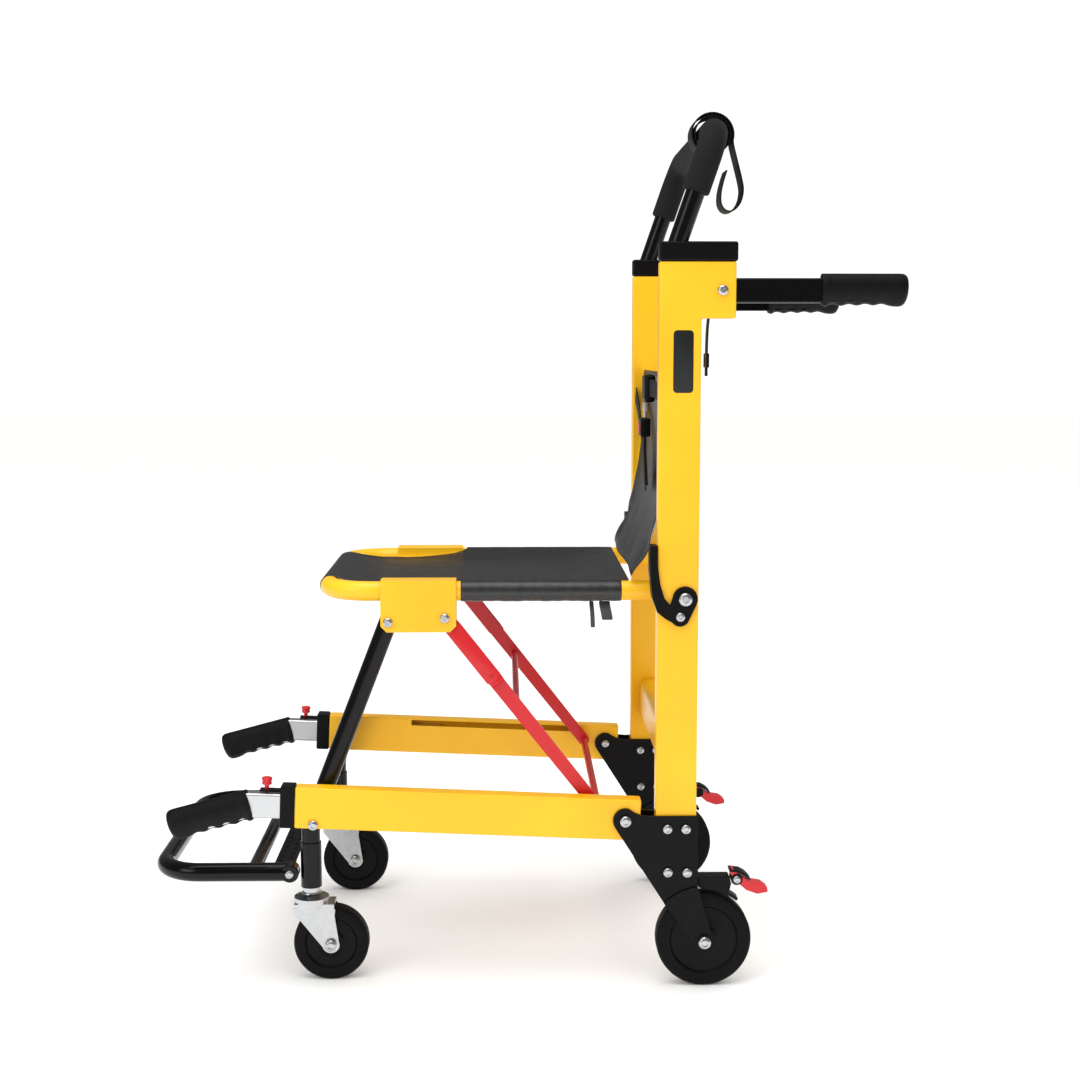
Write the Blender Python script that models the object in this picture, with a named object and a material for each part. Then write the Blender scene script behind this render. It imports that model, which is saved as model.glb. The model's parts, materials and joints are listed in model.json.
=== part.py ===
"""Folding stair chair. Metres, +Z up, the sitter faces -X, and the sitter's left is -Y."""
import math

import bmesh
import bpy
from mathutils import Matrix, Vector

for old in list(bpy.data.objects):
    bpy.data.objects.remove(old, do_unlink=True)

# ---- driving sizes -------------------------------------------------------------------
FIT_GAP = 0.0003          # between pieces that touch
RUN_GAP = 0.0004          # on the radius, between a pin and its hole

POST_X = 0.205            # middle of the rear posts, front to back
POST_Y = 0.217            # middle of the rear posts, from the middle of the chair
POST_DEPTH = 0.054
POST_WIDTH = 0.025
POST_WALL = 0.0025
POST_TOP = 0.957
POST_BOTTOM = 0.142
CAP_HEIGHT = 0.025
BRACKET_REACH = 0.044     # how far the top bracket stands out behind the post
BRACKET_HEIGHT = 0.072

REAR_WHEEL_RADIUS = 0.0635
REAR_WHEEL_WIDTH = 0.028
REAR_AXLE_X = 0.2435
CASTER_RADIUS = 0.0505
CASTER_WIDTH = 0.026
CASTER_TRAIL = 0.0265
LEG_FOOT_X = -0.282       # upright lower end of the front legs

RAIL_PIVOT = (0.138, 0.2275)
RAIL_SLOPE = math.radians(2.5)
RAIL_HEIGHT = 0.055
RAIL_WIDTH = 0.0246
RAIL_WALL = 0.0025
RAIL_FRONT = 0.436        # from the rail pivot to the front end
RAIL_REAR = 0.020
SLOT_UP = 0.0205          # middle of the slot above the middle of the rail
SLOT_HEIGHT = 0.0090
SLOT_REAR = 0.041         # from the rail pivot
SLOT_LENGTH = 0.266

SEAT_PIVOT = (0.214, 0.523)
SEAT_TUBE_Z = 0.528
SEAT_TUBE_RADIUS = 0.013
SEAT_Y = POST_Y - 0.0315  # middle of the seat's side tubes
SEAT_NOSE_X = -0.257
COVER_WALL = 0.0022
LEG_PIVOT = (-0.1745, 0.4885)
LINK_PIVOT = (-0.0997, 0.494)
LEG_RADIUS = 0.0125
SLEEVE_RADIUS = 0.014
LEG_BOTTOM = 0.127

HANDLE_PIVOT = (POST_X + 0.0534, POST_TOP - 0.0365)
HANDLE_BAR = (0.0315, 0.018)      # height, width
GRIP_LENGTH = 0.113
GRIP_END_X = 0.4987
LIFT_TUBE_RADIUS = 0.0125
LIFT_FOAM_RADIUS = 0.0178
LIFT_LEAN = math.radians(19.0)
LIFT_LENGTH = 0.150       # along the lean, from the cap to the middle of the top bar
FRONT_BAR = (0.033, 0.0186)
FOOT_Z = 0.1465
FOOT_NOSE_X = -0.48644
FOOT_BAR_X = -0.360
PIN_RADIUS = 0.004

# Sizes that follow from those above.
POST_FRONT = POST_X - POST_DEPTH / 2
POST_REAR = POST_X + POST_DEPTH / 2
POST_IN = POST_Y - POST_WIDTH / 2
POST_OUT = POST_Y + POST_WIDTH / 2
PLATE = 0.004
FORK_STEP = 0.003
CHEEK = 0.0025
RAIL_IN = POST_Y - RAIL_WIDTH / 2
RAIL_OUT = POST_Y + RAIL_WIDTH / 2
SLIDER_IN = RAIL_IN - 0.0050
CASTER_AXLE_X = LEG_FOOT_X + CASTER_TRAIL
CAP_TOP = POST_TOP + FIT_GAP + CAP_HEIGHT
BRACKET_REAR = POST_REAR + BRACKET_REACH
SIDES = (("left", -1), ("right", 1))


# ---- helpers -------------------------------------------------------------------------
def material(name, colour, roughness, metallic=0.0):
    made = bpy.data.materials.new(name)
    made.use_nodes = True
    shader = made.node_tree.nodes["Principled BSDF"]
    shader.inputs["Base Color"].default_value = (*colour, 1.0)
    shader.inputs["Roughness"].default_value = roughness
    shader.inputs["Metallic"].default_value = metallic
    made.diffuse_color = (*colour, 1.0)
    return made


def piece(name, verts, faces):
    mesh = bpy.data.meshes.new(name)
    mesh.from_pydata([tuple(v) for v in verts], [], faces)
    work = bmesh.new()
    work.from_mesh(mesh)
    bmesh.ops.recalc_face_normals(work, faces=work.faces)
    work.to_mesh(mesh)
    work.free()
    made = bpy.data.objects.new(name, mesh)
    bpy.context.scene.collection.objects.link(made)
    return made


def slab(name, outline, y_one, y_two):
    """A flat plate: an outline of (x, z) points, from one Y to the other."""
    count = len(outline)
    verts = [(x, y_one, z) for x, z in outline] + [(x, y_two, z) for x, z in outline]
    faces = [tuple(range(count)), tuple(range(count, 2 * count))]
    for i in range(count):
        j = (i + 1) % count
        faces.append((i, j, count + j, count + i))
    return piece(name, verts, faces)


def box(name, xs, ys, zs):
    outline = [(xs[0], zs[0]), (xs[1], zs[0]), (xs[1], zs[1]), (xs[0], zs[1])]
    return slab(name, outline, *ys)


def arc(centre, radius, start, end, steps):
    """Points (x, z) on an arc, with angles in degrees from +X towards +Z."""
    found = []
    for i in range(steps + 1):
        angle = math.radians(start + (end - start) * i / steps)
        found.append((centre[0] + radius * math.cos(angle), centre[1] + radius * math.sin(angle)))
    return found


def bent(corners, radius, steps=6):
    """A line through these corners, with each inner corner rounded to this radius."""
    points = [Vector(c) for c in corners]
    found = [points[0]]
    for before, here, after in zip(points, points[1:], points[2:]):
        one = (before - here).normalized()
        two = (after - here).normalized()
        half = one.angle(two) / 2
        back = radius / math.tan(half)
        middle = here + (one + two).normalized() * radius / math.sin(half)
        first = here + one * back - middle
        last = here + two * back - middle
        for i in range(steps + 1):
            found.append(middle + first.normalized().slerp(last.normalized(), i / steps) * radius)
    found.append(points[-1])
    return found


def rings(points, radius, sides, up):
    """A ring of points round each station of the line, square to it."""
    found = []
    count = len(points)
    for i, here in enumerate(points):
        before = points[max(i - 1, 0)]
        after = points[min(i + 1, count - 1)]
        one = (here - before).normalized() if i else (after - here).normalized()
        two = (after - here).normalized() if i < count - 1 else one
        along = (one + two).normalized()
        stretch = 1 / max(0.5, along.dot(one))
        flat = along.cross(up).normalized()
        rise = flat.cross(along).normalized()
        ring = []
        for k in range(sides):
            turn = 2 * math.pi * (k + 0.5) / sides
            wide = flat * math.cos(turn) * radius
            high = rise * math.sin(turn) * radius
            bend = (two - one)
            if bend.length > 1e-6:
                out = bend.normalized()
                shift = wide + high
                shift = shift + out * shift.dot(out) * (stretch - 1)
            else:
                shift = wide + high
            ring.append(here + shift)
        found.append(ring)
    return found


def rod(name, corners, radius, bend=0.03, sides=16, up=(0.31, 0.0, 0.95), steps=6):
    """A round bar along a line, its ends closed."""
    points = bent(corners, bend, steps) if len(corners) > 2 else [Vector(c) for c in corners]
    made = rings(points, radius, sides, Vector(up))
    verts = [v for ring in made for v in ring]
    faces = [tuple(range(sides)), tuple(range(len(verts) - sides, len(verts)))]
    for i in range(len(made) - 1):
        for k in range(sides):
            j = (k + 1) % sides
            faces.append((i * sides + k, i * sides + j, (i + 1) * sides + j, (i + 1) * sides + k))
    return piece(name, verts, faces)


def sleeve(name, corners, outer, inner, bend=0.03, sides=16, up=(0.31, 0.0, 0.95), steps=6):
    """A round sleeve along a line, open at both ends."""
    points = bent(corners, bend, steps) if len(corners) > 2 else [Vector(c) for c in corners]
    shells = [rings(points, r, sides, Vector(up)) for r in (outer, inner)]
    verts = [v for shell in shells for ring in shell for v in ring]
    base = len(points) * sides
    faces = []
    for i in range(len(points) - 1):
        for k in range(sides):
            j = (k + 1) % sides
            for start in (0, base):
                faces.append((start + i * sides + k, start + i * sides + j,
                              start + (i + 1) * sides + j, start + (i + 1) * sides + k))
    for i in (0, len(points) - 1):
        for k in range(sides):
            j = (k + 1) % sides
            faces.append((i * sides + k, i * sides + j, base + i * sides + j, base + i * sides + k))
    return piece(name, verts, faces)


def pin(name, centre, y_one, y_two, radius, sides=16):
    """A round bar along Y through an (x, z) centre."""
    turn = 180 / sides
    outline = arc(centre, radius, turn, 360 + turn - 360 / sides, sides - 1)
    return slab(name, outline, y_one, y_two)


def upright(name, centre, z_one, z_two, radius, sides=20, top=None):
    """A round bar along Z through an (x, y) centre, with an upper radius if it tapers."""
    verts = []
    for z, r in ((z_one, radius), (z_two, top or radius)):
        for k in range(sides):
            turn = 2 * math.pi * (k + 0.5) / sides
            verts.append((centre[0] + r * math.cos(turn), centre[1] + r * math.sin(turn), z))
    faces = [tuple(range(sides)), tuple(range(sides, 2 * sides))]
    for k in range(sides):
        j = (k + 1) % sides
        faces.append((k, j, sides + j, sides + k))
    return piece(name, verts, faces)


def turned(name, centre, middle_y, profile, sides):
    """A ring turned about Y: a closed profile of (radius, distance from its middle)."""
    count = len(profile)
    verts = []
    for k in range(sides):
        turn = 2 * math.pi * k / sides
        for r, along in profile:
            verts.append((centre[0] + r * math.cos(turn), middle_y + along,
                          centre[1] + r * math.sin(turn)))
    faces = []
    for k in range(sides):
        nxt = (k + 1) % sides
        for i in range(count):
            j = (i + 1) % count
            faces.append((k * count + i, k * count + j, nxt * count + j, nxt * count + i))
    return piece(name, verts, faces)


def combine(target, operation, others):
    for other in others:
        step = target.modifiers.new("join", "BOOLEAN")
        step.operation = operation
        step.solver = "EXACT"
        step.object = other
        bpy.context.view_layer.objects.active = target
        bpy.ops.object.modifier_apply(modifier=step.name)
        bpy.data.objects.remove(other, do_unlink=True)
    return target


def join(target, *others):
    return combine(target, "UNION", others)


def cut(target, *others):
    return combine(target, "DIFFERENCE", others)


def soften(target, width, segments=2, limit=40.0):
    step = target.modifiers.new("soft edges", "BEVEL")
    step.width = width
    step.segments = segments
    step.limit_method = "ANGLE"
    step.angle_limit = math.radians(limit)
    step.use_clamp_overlap = True
    return target


def finish(target, look, origin=(0.0, 0.0, 0.0), smooth=True):
    """Colours a finished piece and puts its origin on its joint."""
    target.data.materials.clear()
    target.data.materials.append(look)
    where = Vector(origin)
    target.data.transform(Matrix.Translation(-where))
    target.location = where
    if smooth:
        target.data.shade_smooth()
        target.data.set_sharp_from_angle(angle=math.radians(35))
    return target


def on_rail(forward, up=0.0):
    """(x, z) at a distance forward of the rail pivot, and above the middle of the rail."""
    along = (-math.cos(RAIL_SLOPE), math.sin(RAIL_SLOPE))
    square = (math.sin(RAIL_SLOPE), math.cos(RAIL_SLOPE))
    return (RAIL_PIVOT[0] + along[0] * forward + square[0] * up,
            RAIL_PIVOT[1] + along[1] * forward + square[1] * up)


def rail_box(name, forwards, ups, ys):
    """A box lying along the rail."""
    outline = [on_rail(forwards[0], ups[0]), on_rail(forwards[1], ups[0]),
               on_rail(forwards[1], ups[1]), on_rail(forwards[0], ups[1])]
    return slab(name, outline, *ys)


def ribbon(line, thickness):
    """The outline of a strip of this thickness along a line of (x, z) points."""
    above, below = [], []
    for i, (x, z) in enumerate(line):
        x0, z0 = line[max(i - 1, 0)]
        x1, z1 = line[min(i + 1, len(line) - 1)]
        size = math.hypot(x1 - x0, z1 - z0)
        nx, nz = -(z1 - z0) / size, (x1 - x0) / size
        above.append((x + nx * thickness / 2, z + nz * thickness / 2))
        below.append((x - nx * thickness / 2, z - nz * thickness / 2))
    return above + below[::-1]


YELLOW = material("yellow_powder_coated_aluminium", (0.90, 0.55, 0.02), 0.38)
BLACK_STEEL = material("black_powder_coated_steel", (0.012, 0.012, 0.013), 0.45)
BLACK_GLOSS = material("gloss_black_painted_steel_tube", (0.008, 0.008, 0.009), 0.18)
BLACK_PLASTIC = material("black_moulded_plastic", (0.015, 0.015, 0.016), 0.42)
BLACK_FOAM = material("black_foam_rubber", (0.022, 0.022, 0.024), 0.78)
BLACK_RUBBER = material("black_grip_rubber", (0.014, 0.014, 0.015), 0.62)
TYRE = material("black_wheel_rubber", (0.013, 0.013, 0.014), 0.6)
VINYL = material("black_coated_vinyl", (0.016, 0.016, 0.018), 0.36)
WEBBING = material("black_nylon_webbing", (0.012, 0.012, 0.013), 0.85)
RED_PAINT = material("red_powder_coated_steel", (0.55, 0.01, 0.015), 0.35)
RED_PLASTIC = material("red_moulded_plastic", (0.50, 0.012, 0.02), 0.35)
ZINC = material("zinc_plated_steel", (0.66, 0.66, 0.68), 0.3, 1.0)
ALUMINIUM = material("clear_anodised_aluminium", (0.72, 0.73, 0.75), 0.32, 1.0)


# ---- rear posts, each with its top bracket welded behind it --------------------------
for side, s in SIDES:
    shape = [(POST_FRONT, POST_BOTTOM), (POST_REAR, POST_BOTTOM), (POST_REAR, POST_TOP - BRACKET_HEIGHT),
             (BRACKET_REAR, POST_TOP - BRACKET_HEIGHT), (BRACKET_REAR, POST_TOP), (POST_FRONT, POST_TOP)]
    post = slab(f"rear_post_{side}", shape, s * POST_IN, s * POST_OUT)
    soften(post, 0.0022, 2)
    bpy.context.view_layer.objects.active = post
    bpy.ops.object.modifier_apply(modifier="soft edges")
    bore = box("bore", (POST_FRONT + POST_WALL, POST_REAR - POST_WALL),
               (s * (POST_IN + POST_WALL), s * (POST_OUT - POST_WALL)), (POST_BOTTOM - 0.01, POST_TOP + 0.01))
    channel = box("channel", (POST_REAR + 0.003, BRACKET_REAR + 0.01),
                  (s * (POST_IN + 0.003), s * (POST_OUT - 0.003)),
                  (POST_TOP - BRACKET_HEIGHT - 0.01, POST_TOP - 0.003))
    seat_hole = pin("seat hole", SEAT_PIVOT, s * (POST_IN - 0.01), s * (POST_OUT + 0.01),
                    PIN_RADIUS + RUN_GAP)
    handle_hole = pin("handle hole", HANDLE_PIVOT, s * (POST_IN - 0.01), s * (POST_OUT + 0.01),
                      PIN_RADIUS + RUN_GAP)
    cut(post, bore, channel, seat_hole, handle_hole)
    finish(post, YELLOW)

# ---- black caps over the posts and brackets ------------------------------------------
LEAN_X = math.sin(LIFT_LEAN)
LEAN_Z = math.cos(LIFT_LEAN)
LIFT_BASE_X = POST_X - 0.003
for side, s in SIDES:
    cap = box(f"post_cap_{side}", (POST_FRONT - 0.0006, BRACKET_REAR + 0.002),
              (s * (POST_IN - 0.0008), s * (POST_OUT + 0.0010)), (POST_TOP + FIT_GAP, CAP_TOP))
    soften(cap, 0.003, 3)
    bpy.context.view_layer.objects.active = cap
    bpy.ops.object.modifier_apply(modifier="soft edges")
    socket = rod("socket", [(LIFT_BASE_X - LEAN_X * 0.014, s * POST_Y, CAP_TOP - LEAN_Z * 0.014),
                            (LIFT_BASE_X + LEAN_X * 0.02, s * POST_Y, CAP_TOP + LEAN_Z * 0.02)],
                 0.0080 + RUN_GAP)
    cut(cap, socket)
    finish(cap, BLACK_PLASTIC)

# ---- lift handle: a leaning hoop of tube with a foam sleeve and a webbing strap -------
top_x = LIFT_BASE_X + LEAN_X * LIFT_LENGTH
top_z = CAP_TOP + LEAN_Z * LIFT_LENGTH
rise = 0.0055
hoop = [(LIFT_BASE_X + LEAN_X * rise, -POST_Y, CAP_TOP + LEAN_Z * rise), (top_x, -POST_Y, top_z),
        (top_x, POST_Y, top_z), (LIFT_BASE_X + LEAN_X * rise, POST_Y, CAP_TOP + LEAN_Z * rise)]
lift = rod("lift_handle", hoop, LIFT_TUBE_RADIUS, bend=0.045, up=(LEAN_Z, 0.0, -LEAN_X))
for s in (-1, 1):
    spigot = rod("spigot", [(LIFT_BASE_X - LEAN_X * 0.013, s * POST_Y, CAP_TOP - LEAN_Z * 0.013),
                            (LIFT_BASE_X + LEAN_X * 0.012, s * POST_Y, CAP_TOP + LEAN_Z * 0.012)],
                 0.0080)
    join(lift, spigot)
finish(lift, BLACK_GLOSS)

foam_up = 0.066
foam_line = [(LIFT_BASE_X + LEAN_X * foam_up, -POST_Y, CAP_TOP + LEAN_Z * foam_up), (top_x, -POST_Y, top_z),
             (top_x, POST_Y, top_z), (LIFT_BASE_X + LEAN_X * foam_up, POST_Y, CAP_TOP + LEAN_Z * foam_up)]
foam = sleeve("lift_handle_foam", foam_line, LIFT_FOAM_RADIUS, LIFT_TUBE_RADIUS + FIT_GAP,
              bend=0.045, up=(LEAN_Z, 0.0, -LEAN_X))
finish(foam, BLACK_FOAM)

wraps = []
turns = 40
for i in range(turns + 1):
    angle = math.radians(-20 - 720 * i / turns)
    radius = LIFT_FOAM_RADIUS + 0.0026 + 0.0085 * i / turns
    wraps.append((top_x + radius * math.cos(angle), top_z + radius * math.sin(angle)))
hang = [(0.0325, -0.030), (0.0400, -0.058), (0.0425, -0.072), (0.0390, -0.088), (0.0300, -0.098),
        (0.0200, -0.099), (0.0130, -0.091), (0.0120, -0.078), (0.0150, -0.062), (0.0200, -0.046)]
wraps += [(top_x + x, top_z + z) for x, z in hang]
strap = slab("lift_strap", ribbon(wraps, 0.0020), -0.162, -0.118)
finish(strap, WEBBING)

# ---- cross members between the posts -------------------------------------------------
lower = []
for centre_z, start in ((0.281, 180), (0.317, 0)):
    lower += arc((POST_X + 0.002, centre_z), 0.0145, start, start + 180, 8)
cross_low = slab("cross_tube_lower", lower, -(POST_IN - FIT_GAP), POST_IN - FIT_GAP)
finish(cross_low, YELLOW)
cross_top = pin("cross_tube_upper", (BRACKET_REAR - 0.0185, POST_TOP - BRACKET_HEIGHT + 0.015),
                -(POST_IN - FIT_GAP), POST_IN - FIT_GAP, 0.011)
finish(cross_top, YELLOW)

# ---- hinge plates: each pair holds a post, a rail and a rear wheel -------------------
AXLE = (REAR_AXLE_X, REAR_WHEEL_RADIUS)
lobe = arc(RAIL_PIVOT, 0.0165, 215, 75, 8)
wheel_edge = arc(AXLE, 0.0700, 97.5, 137, 7)
upper_outline = lobe + [(0.1500, 0.2382), (0.1590, 0.2345), (0.1700, 0.2335), (0.2345, 0.2335)] + wheel_edge
blade = arc(AXLE, 0.0750, 97.0, 136.0, 7)
tip = arc(AXLE, 0.0125, 215, 355, 8)
fork_outline = blade + tip
for side, s in SIDES:
    for place, flat, out in (("outer", POST_OUT + FIT_GAP, 1), ("inner", POST_IN - FIT_GAP, -1)):
        low = s * flat
        high = s * (flat + out * PLATE)
        plate = slab(f"hinge_plate_{place}_{side}", upper_outline, low, high)
        step = FORK_STEP * out * s
        fork = slab("fork", fork_outline, low + step, high + step)
        join(plate, fork)
        cut(plate, pin("axle hole", AXLE, low - 0.02, low + 0.02, PIN_RADIUS + RUN_GAP, 20))
        if place == "outer":
            for x, z in ((0.1935, 0.2166), (0.2178, 0.2164), (0.1945, 0.1578), (0.2200, 0.1572)):
                join(plate, pin("bolt head", (x, z), high - s * 0.001, high + s * 0.0026, 0.0055, 12))
            cut(plate, pin("rail pin hole", RAIL_PIVOT, low - 0.02, low + 0.02, PIN_RADIUS + RUN_GAP, 20))
        else:
            reach = s * (POST_OUT + FIT_GAP + PLATE + FIT_GAP + 0.0030)
            join(plate, pin("rail pin", RAIL_PIVOT, high - out * s * 0.002, reach - s * 0.0028, PIN_RADIUS))
            join(plate, pin("rail pin head", RAIL_PIVOT, reach - s * 0.0030, reach, 0.0070))
        finish(plate, BLACK_STEEL)

    fork_out = POST_OUT + FIT_GAP + PLATE + FORK_STEP + FIT_GAP
    fork_in = POST_IN - FIT_GAP - PLATE - FORK_STEP - FIT_GAP
    axle = pin(f"rear_axle_{side}", AXLE, s * (fork_in - 0.004), s * (fork_out + 0.004), PIN_RADIUS, 20)
    join(axle, pin("head", AXLE, s * fork_out, s * (fork_out + 0.0045), 0.0080, 18))
    join(axle, pin("nut", AXLE, s * fork_in, s * (fork_in - 0.0055), 0.0070, 6))
    finish(axle, ZINC)

    # Rear wheel: a rubber tyre ring on a flat disc hub, in one turned piece.
    half = REAR_WHEEL_WIDTH / 2
    bore_r = PIN_RADIUS + RUN_GAP
    profile = [(bore_r, -half + 0.001), (0.012, -half + 0.001), (0.012, -half + 0.0030),
               (0.041, -half + 0.0030), (0.0445, -half), (REAR_WHEEL_RADIUS - 0.006, -half),
               (REAR_WHEEL_RADIUS - 0.0015, -half + 0.003), (REAR_WHEEL_RADIUS, -half + 0.008),
               (REAR_WHEEL_RADIUS, half - 0.008), (REAR_WHEEL_RADIUS - 0.0015, half - 0.003),
               (REAR_WHEEL_RADIUS - 0.006, half), (0.0445, half), (0.041, half - 0.0030),
               (0.012, half - 0.0030), (0.012, half - 0.001), (bore_r, half - 0.001)]
    wheel = turned(f"rear_wheel_{side}", AXLE, s * POST_Y, profile, 36)
    finish(wheel, TYRE, (AXLE[0], s * POST_Y, AXLE[1]))

    # Brake: a housing bar behind the post's foot with a curved shoe, and a red pedal.
    housing_in = POST_Y - 0.0098
    housing_out = POST_Y + 0.0098
    rim = REAR_WHEEL_RADIUS + 0.004
    shoe = arc(AXLE, rim, 83, 50, 8) + arc(AXLE, rim + 0.004, 50, 62, 3)
    shoe += [(0.2800, 0.1395), (0.2770, 0.1495), (0.2360, 0.1495), (0.2360, AXLE[1] + rim + 0.003)]
    brake = slab(f"brake_housing_{side}", shoe, s * housing_in, s * housing_out)
    finish(brake, BLACK_STEEL)

# ---- brake pedals --------------------------------------------------------------------
BRAKE_PIVOT = (0.2875, 0.1447)
for side, s in SIDES:
    y_in = s * (POST_Y - 0.0095)
    y_out = s * (POST_Y + 0.0095)
    lever_line = arc(BRAKE_PIVOT, 0.0070, 215, 150, 4) + [(0.2770, 0.1555), (0.2815, 0.1590)]
    lever_line += [(0.3045, 0.1415), (0.3200, 0.1390), (0.3285, 0.1330), (0.3290, 0.1270)]
    lever_line += [(0.3150, 0.1245), (0.3000, 0.1300), (0.2925, 0.1368)]
    pedal = slab(f"brake_pedal_{side}", lever_line, y_in, y_out)
    soften(pedal, 0.0012, 2, 50)
    finish(pedal, RED_PLASTIC, (BRAKE_PIVOT[0], s * POST_Y, BRAKE_PIVOT[1]))

# ---- side guards: curved black brackets at the seat pivots, with the pivot pin --------
for side, s in SIDES:
    face = POST_OUT + FIT_GAP
    line = [(0.1678, 0.5924), (0.1680, 0.5560), (0.1712, 0.5250), (0.1775, 0.5060), (0.1880, 0.4975)]
    line += arc((0.2075, 0.4995), 0.0125, 215, 325, 6)
    line += arc(SEAT_PIVOT, 0.0165, -28, 178, 10)
    line += [(0.1945, 0.5150), (0.1870, 0.5240), (0.1815, 0.5420), (0.1775, 0.5700), (0.1765, 0.5924)]
    guard = slab(f"side_guard_{side}", line, s * face, s * (face + 0.0045))
    lip = [(0.1678, 0.5924), (0.1680, 0.5560), (0.1712, 0.5250), (0.1747, 0.5140), (0.1774, 0.5140),
           (0.1774, 0.5924)]
    join(guard, slab("lip", lip, s * (POST_IN + 0.002), s * (face + 0.0030)))
    pin_in = SEAT_Y - SEAT_TUBE_RADIUS - 0.0030
    join(guard, pin("pin", SEAT_PIVOT, s * pin_in, s * (face + 0.0030), PIN_RADIUS))
    join(guard, pin("pin head", SEAT_PIVOT, s * (face + 0.0040), s * (face + 0.0080), 0.0078, 18))
    join(guard, pin("small head", (0.2078, 0.4998), s * (face + 0.0040), s * (face + 0.0070), 0.0052, 12))
    finish(guard, BLACK_PLASTIC)

# ---- rear carry handles: they fold down about the bracket pins -----------------------
for side, s in SIDES:
    half_w = HANDLE_BAR[1] / 2
    half_h = HANDLE_BAR[0] / 2
    grip_x = GRIP_END_X - GRIP_LENGTH
    round_end = arc(HANDLE_PIVOT, half_h, 270, 90, 8)
    bar_end = grip_x + 0.060
    bar_line = round_end + [(bar_end, HANDLE_PIVOT[1] + half_h), (bar_end, HANDLE_PIVOT[1] - half_h)]
    bar = slab(f"rear_handle_bar_{side}", bar_line, s * (POST_Y - half_w), s * (POST_Y + half_w))
    cut(bar, pin("hole", HANDLE_PIVOT, s * (POST_Y - 0.02), s * (POST_Y + 0.02), PIN_RADIUS + RUN_GAP))
    finish(bar, BLACK_GLOSS, (HANDLE_PIVOT[0], s * POST_Y, HANDLE_PIVOT[1]))

    bolt = pin(f"rear_handle_pin_{side}", HANDLE_PIVOT, s * (POST_IN - 0.0020), s * (POST_OUT + 0.0022),
               PIN_RADIUS)
    join(bolt, pin("head", HANDLE_PIVOT, s * (POST_OUT + FIT_GAP), s * (POST_OUT + 0.0030), 0.0058, 16))
    finish(bolt, ZINC)


def grip_outline(length):
    """A hand grip seen from the side: flat on top, finger hollows below, from 0 along +X."""
    top = [(length - 0.0015, 0.0100), (length - 0.0055, 0.0185), (length - 0.0120, 0.0222), (0.0000, 0.0222)]
    low = [(0.0000, -0.0190), (0.0060, -0.0215), (0.0160, -0.0225), (0.0250, -0.0190), (0.0330, -0.0168),
           (0.0420, -0.0172), (0.0500, -0.0186), (0.0580, -0.0176), (0.0670, -0.0174), (0.0750, -0.0188),
           (0.0840, -0.0176), (0.0900, -0.0186), (length - 0.0110, -0.0210), (length - 0.0045, -0.0180),
           (length, -0.0090), (length, 0.0020)]
    return top + low


for side, s in SIDES:
    grip_z = HANDLE_PIVOT[1] + 0.0015
    shape = [(GRIP_END_X - GRIP_LENGTH + x, grip_z + z) for x, z in grip_outline(GRIP_LENGTH)]
    grip = slab(f"rear_handle_grip_{side}", shape, s * (POST_Y - 0.0155), s * (POST_Y + 0.0155))
    soften(grip, 0.0060, 3, 60)
    bpy.context.view_layer.objects.active = grip
    bpy.ops.object.modifier_apply(modifier="soft edges")
    room_x = (GRIP_END_X - GRIP_LENGTH - 0.01, GRIP_END_X - GRIP_LENGTH + 0.060 + FIT_GAP)
    room_y = (s * (POST_Y - HANDLE_BAR[1] / 2 - FIT_GAP), s * (POST_Y + HANDLE_BAR[1] / 2 + FIT_GAP))
    room_z = (HANDLE_PIVOT[1] - HANDLE_BAR[0] / 2 - FIT_GAP, HANDLE_PIVOT[1] + HANDLE_BAR[0] / 2 + FIT_GAP)
    cut(grip, box("room", room_x, room_y, room_z))
    finish(grip, BLACK_RUBBER, (HANDLE_PIVOT[0], s * POST_Y, HANDLE_PIVOT[1]))

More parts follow.
